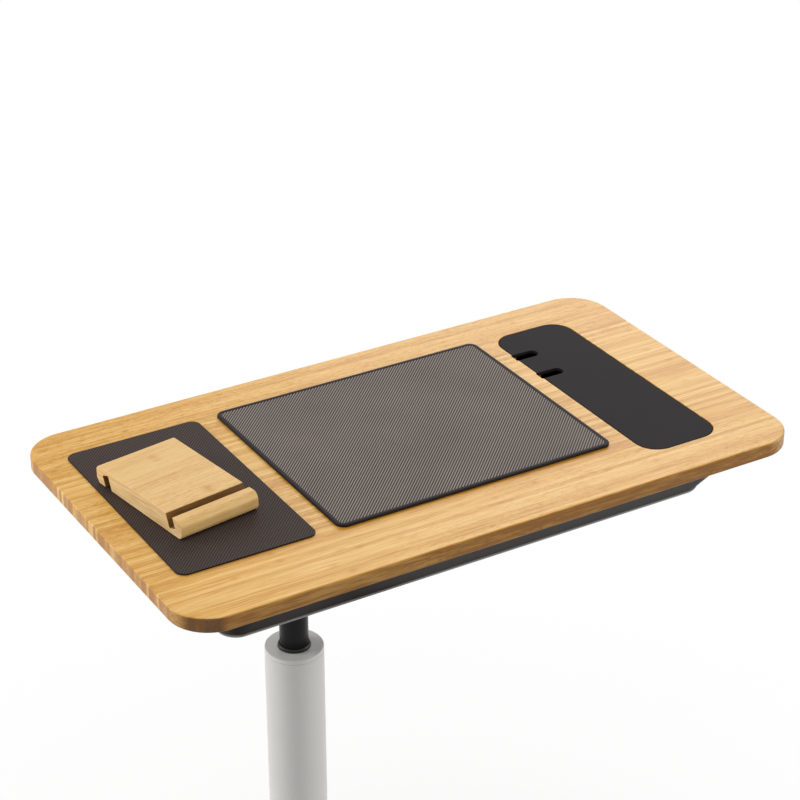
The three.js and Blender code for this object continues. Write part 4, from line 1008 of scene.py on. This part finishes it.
# %% Refine the base's fittings
def refined(node):
    """A copy of a small fitting's solid, with its flat faces made whole again."""
    builder = bmesh.new()
    builder.from_mesh(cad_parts[node].data)
    bmesh.ops.remove_doubles(builder, verts=builder.verts, dist=1e-6)
    bmesh.ops.dissolve_limit(builder, angle_limit=math.radians(1), verts=builder.verts,
                             edges=builder.edges)
    made = bpy.data.meshes.new(node)
    builder.to_mesh(made)
    builder.free()
    return made


def fit(name, node, finish, body, slot, **eases):
    show(name, refined(node), finish, body, slot, [node], **eases)


FOOT_BEAD, FOOT_BEAD_POINTS, FOOT_BEAD_RISE = 1.5, 200, 0.4
for side in ("front_left", "rear_left", "front_right", "rear_right"):
    fit("plug_" + side, "rail_plug_" + side, moulded_black, "base", "moulded_black", bevel=0.7)
fit("column_foot_plate", "column_foot", base_black, "base", "base_black", bevel=0.6,
    bevel_steps=2, over=60)
foot_ring = []
for i in range(FOOT_BEAD_POINTS):
    turn = math.tau * i / FOOT_BEAD_POINTS
    foot_ring.append((COLUMN_X + COLUMN * math.cos(turn), COLUMN * math.sin(turn),
                      tube_low + FOOT_BEAD_RISE))
weld("column_weld", foot_ring, FOOT_BEAD)

# %% Refine the bolts and the hub
cast_grey = metal("cast_grey", ink(150, 151, 154), 0.52, spots=0.5)
for side in ("front_left", "front_right", "rear_right", "rear_left"):
    fit("foot_hex_" + side, "foot_bolt_" + side, zinc, "base", "zinc", bevel=0.5)
    fit("hub_hex_" + side, "hub_bolt_" + side, zinc, "desk", "zinc", bevel=0.45)
fit("hub_casting", "column_hub", cast_grey, "desk", "cast_grey", bevel=0.7, bevel_steps=2,
    over=60)
fit("carrier_bracket", "support_bracket", zinc, "desk", "zinc", bevel=0.8)
fit("release_lever_bar", "release_lever", base_black, "lever", "base_black", bevel=0.6)

# %% [markdown]
# ## The lever's grip
# The grip is a moulded sleeve pushed over the bar, with shallow finger waves so that it
# can be found by feel under the tray. Its section is a round rectangle that swells and
# shrinks along the bar.

# %% Build the grip
GRIP = (16.0, 13.0, 4.2)
GRIP_STEPS, FINGER_WAVES, WAVE_SHARE = 56, 5, 0.035
NOSE_LENGTH, NOSE_SHARE = 3.0, 0.58
low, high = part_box("lever_grip")
grip_low, grip_high = low / MM, high / MM
grip_middle = (grip_low + grip_high) / 2
grip_length = grip_high.x - grip_low.x
grip_rings = []
for step in range(GRIP_STEPS + 1):
    share = step / GRIP_STEPS
    near_end = min(min(share, 1 - share) * grip_length / NOSE_LENGTH, 1)
    nose = math.sqrt(max(0.0, 1 - (1 - near_end) ** 2)) * (1 - NOSE_SHARE) + NOSE_SHARE
    finger = (1 - math.cos(math.tau * FINGER_WAVES * share)) / 2
    swell = nose * (1 - WAVE_SHARE * finger)
    flat = round_rect(*(size * swell for size in GRIP), steps=6)
    grip_rings.append([(grip_low.x + grip_length * share, grip_middle.y + u,
                        grip_middle.z + v) for u, v in flat])
show("lever_grip_sleeve", stacked("lever_grip_sleeve", grip_rings), moulded_black, "lever",
     "moulded_black", ["lever_grip"], crease=60)

# %% [markdown]
# ## Casters
# Each caster is a bearing plate, a folded fork, an axle, a moulded wheel and a rubber
# tyre. The tyre is turned with rounded shoulders and fine grooves, and the wheel has
# ribs between its hub and rim. The tyre's radius is taken so that it just meets the
# floor under its axle.

# %% Outline the wheels
TYRE, TYRE_HALF, TYRE_INNER = 24.52, 10.0, 19.3
SHOULDER, SHOULDER_DROP, BEAD_INSET = 3.0, 2.5, 1.2
GROOVE_PLACES, GROOVE_DEPTH, GROOVE_HALF, GROOVE_FLOOR_HALF = (-4.0, 0.0, 4.0), 0.5, 0.5, 0.3
CORE, CORE_HALF, RIM_INNER = 18.95, 8.8, 16.0
HUB, HUB_HALF, AXLE_BORE, WEB_HALF = 8.0, 10.8, 3.45, 3.5
RIBS, RIB_HALF, RIB_OVERLAP, RIB_HEIGHTS = 8, 0.9, 0.4, (3.2, 7.6)


def mirrored(below, between=()):
    """A profile whose upper half mirrors its lower half."""
    above = [(radius, -height, ease) for radius, height, ease in reversed(below)]
    return [*below, *between, *above]


def tyre_profile():
    below = [(TYRE_INNER, -TYRE_HALF + BEAD_INSET, 0.3),
             (TYRE - SHOULDER_DROP, -TYRE_HALF, 1.6), (TYRE, -TYRE_HALF + SHOULDER, 1.8)]
    groove = [(TYRE, -GROOVE_HALF), (TYRE - GROOVE_DEPTH, -GROOVE_FLOOR_HALF),
              (TYRE - GROOVE_DEPTH, GROOVE_FLOOR_HALF), (TYRE, GROOVE_HALF)]
    grooves = [(radius, place + off, 0.1) for place in GROOVE_PLACES for radius, off in groove]
    return eased(mirrored(below, grooves), steps=4)


def core_profile():
    below = [(AXLE_BORE, -HUB_HALF, 0.2), (HUB, -HUB_HALF, 0.8), (HUB, -WEB_HALF, 1.5),
             (RIM_INNER, -WEB_HALF, 1.5), (RIM_INNER, -CORE_HALF, 0.4), (CORE, -CORE_HALF, 0.3)]
    return eased(mirrored(below), steps=4)


def rib(angle, side):
    """A rib between hub and rim, on one side of the web."""
    start, end = HUB - RIB_OVERLAP, RIM_INNER + RIB_OVERLAP
    outline = [(start, -RIB_HALF), (end, -RIB_HALF), (end, RIB_HALF), (start, RIB_HALF)]
    low, high = sorted(side * height for height in RIB_HEIGHTS)
    return moved(prism("rib", outline, low, high), Matrix.Rotation(angle, 4, "Z"))


print("a tyre's profile has", len(tyre_profile()), "points")


# %% Outline the axles and mounts
AXLE, BUTTON, BUTTON_FACE, BUTTON_HEIGHT = 3.0, 5.5, 5.2, 2.5
RIVET, NECK, PLATE, STEM = 7.5, 4.0, 22.0, 5.0
RIVET_TOP, PLATE_LOW, PLATE_TOP = 2.4, 6.4, 10.4


def axle_profile(reach):
    """Half a section of an axle with a button head at each end."""
    below = [(0, -reach, 0), (BUTTON_FACE, -reach, 1.4),
             (BUTTON, BUTTON_HEIGHT - reach, 0.2), (AXLE, BUTTON_HEIGHT - reach, 0)]
    return eased(mirrored(below), closed=False, steps=4)


def mount_profile(foot, head):
    """Half a section of a mount: rivet, bearing plate and threaded stem."""
    return eased([
        (0, foot, 0), (RIVET, foot, 0.5), (RIVET, foot + RIVET_TOP, 0.3),
        (NECK, foot + RIVET_TOP, 0), (NECK, foot + PLATE_LOW, 0), (PLATE, foot + PLATE_LOW, 1.2),
        (PLATE, foot + PLATE_TOP, 1.0), (STEM, foot + PLATE_TOP, 0), (STEM, head, 0.5),
        (0, head, 0)], closed=False, steps=4)


print("an axle's profile has", len(axle_profile(15)), "points")

# %% Build the casters
tyre_grey = moulded("tyre_grey", ink(74, 74, 76), 0.78, 800)
sideways = Matrix.Rotation(math.pi / 2, 4, "Y")
for side in ("front_left", "front_right", "rear_left", "rear_right"):
    low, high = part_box("wheel_tyre_" + side)
    hub_at = (low + high) / 2
    on_axle = Matrix.Translation((hub_at.x, hub_at.y, TYRE * MM)) @ sideways
    show("tyre_" + side, moved(turned("tyre", tyre_profile()), on_axle), tyre_grey,
         "wheel_" + side, "tyre_grey", ["wheel_tyre_" + side], crease=50)
    ribs = [rib(math.tau * i / RIBS, s) for i in range(RIBS) for s in (1, -1)]
    core = joined("wheel_" + side, [turned("core", core_profile()), *ribs])
    show("wheel_" + side, moved(core, on_axle), moulded_black, "wheel_" + side, "moulded_black",
         ["wheel_core_" + side])
    fit("fork_" + side, "caster_fork_" + side, base_black, "swivel_" + side, "base_black",
        bevel=0.7)
    low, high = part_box("caster_axle_" + side)
    reach = (high.x - low.x) / MM / 2
    show("axle_" + side, moved(turned("axle", axle_profile(reach), 40), on_axle), zinc,
         "swivel_" + side, "zinc", ["caster_axle_" + side])
    low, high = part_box("caster_mount_" + side)
    mount = turned("mount", mount_profile(low.z / MM, high.z / MM), 64)
    mount_at = Matrix.Translation(((low.x + high.x) / 2, (low.y + high.y) / 2, 0))
    show("swivel_mount_" + side, moved(mount, mount_at), zinc, "base", "zinc",
         ["caster_mount_" + side])

for side in ("front_left", "front_right"):
    fit("pedal_" + side, "brake_pedal_" + side, moulded_black, "pedal_" + side, "moulded_black",
        bevel=0.6)

# %% [markdown]
# ## Inner parts
# The piston, its rod, the gland, the pins and the set screws sit in the column and the
# hub. Their solids already have the right shape, so they only get a finish.

# %% Finish the inner solids
bright_steel = metal("bright_steel", ink(196, 198, 202), 0.22, (1, 1, 12))
inner = {"piston_rod": bright_steel, "piston": moulded_black, "cylinder_gland": moulded_black,
         "release_pin": bright_steel, "lever_pin": bright_steel,
         "hub_set_screw_upper": zinc, "hub_set_screw_lower": zinc}
for node, finish in inner.items():
    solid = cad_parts[node]
    solid.data.materials.clear()
    solid.data.materials.append(finish)
print(len(inner), "inner solids finished")
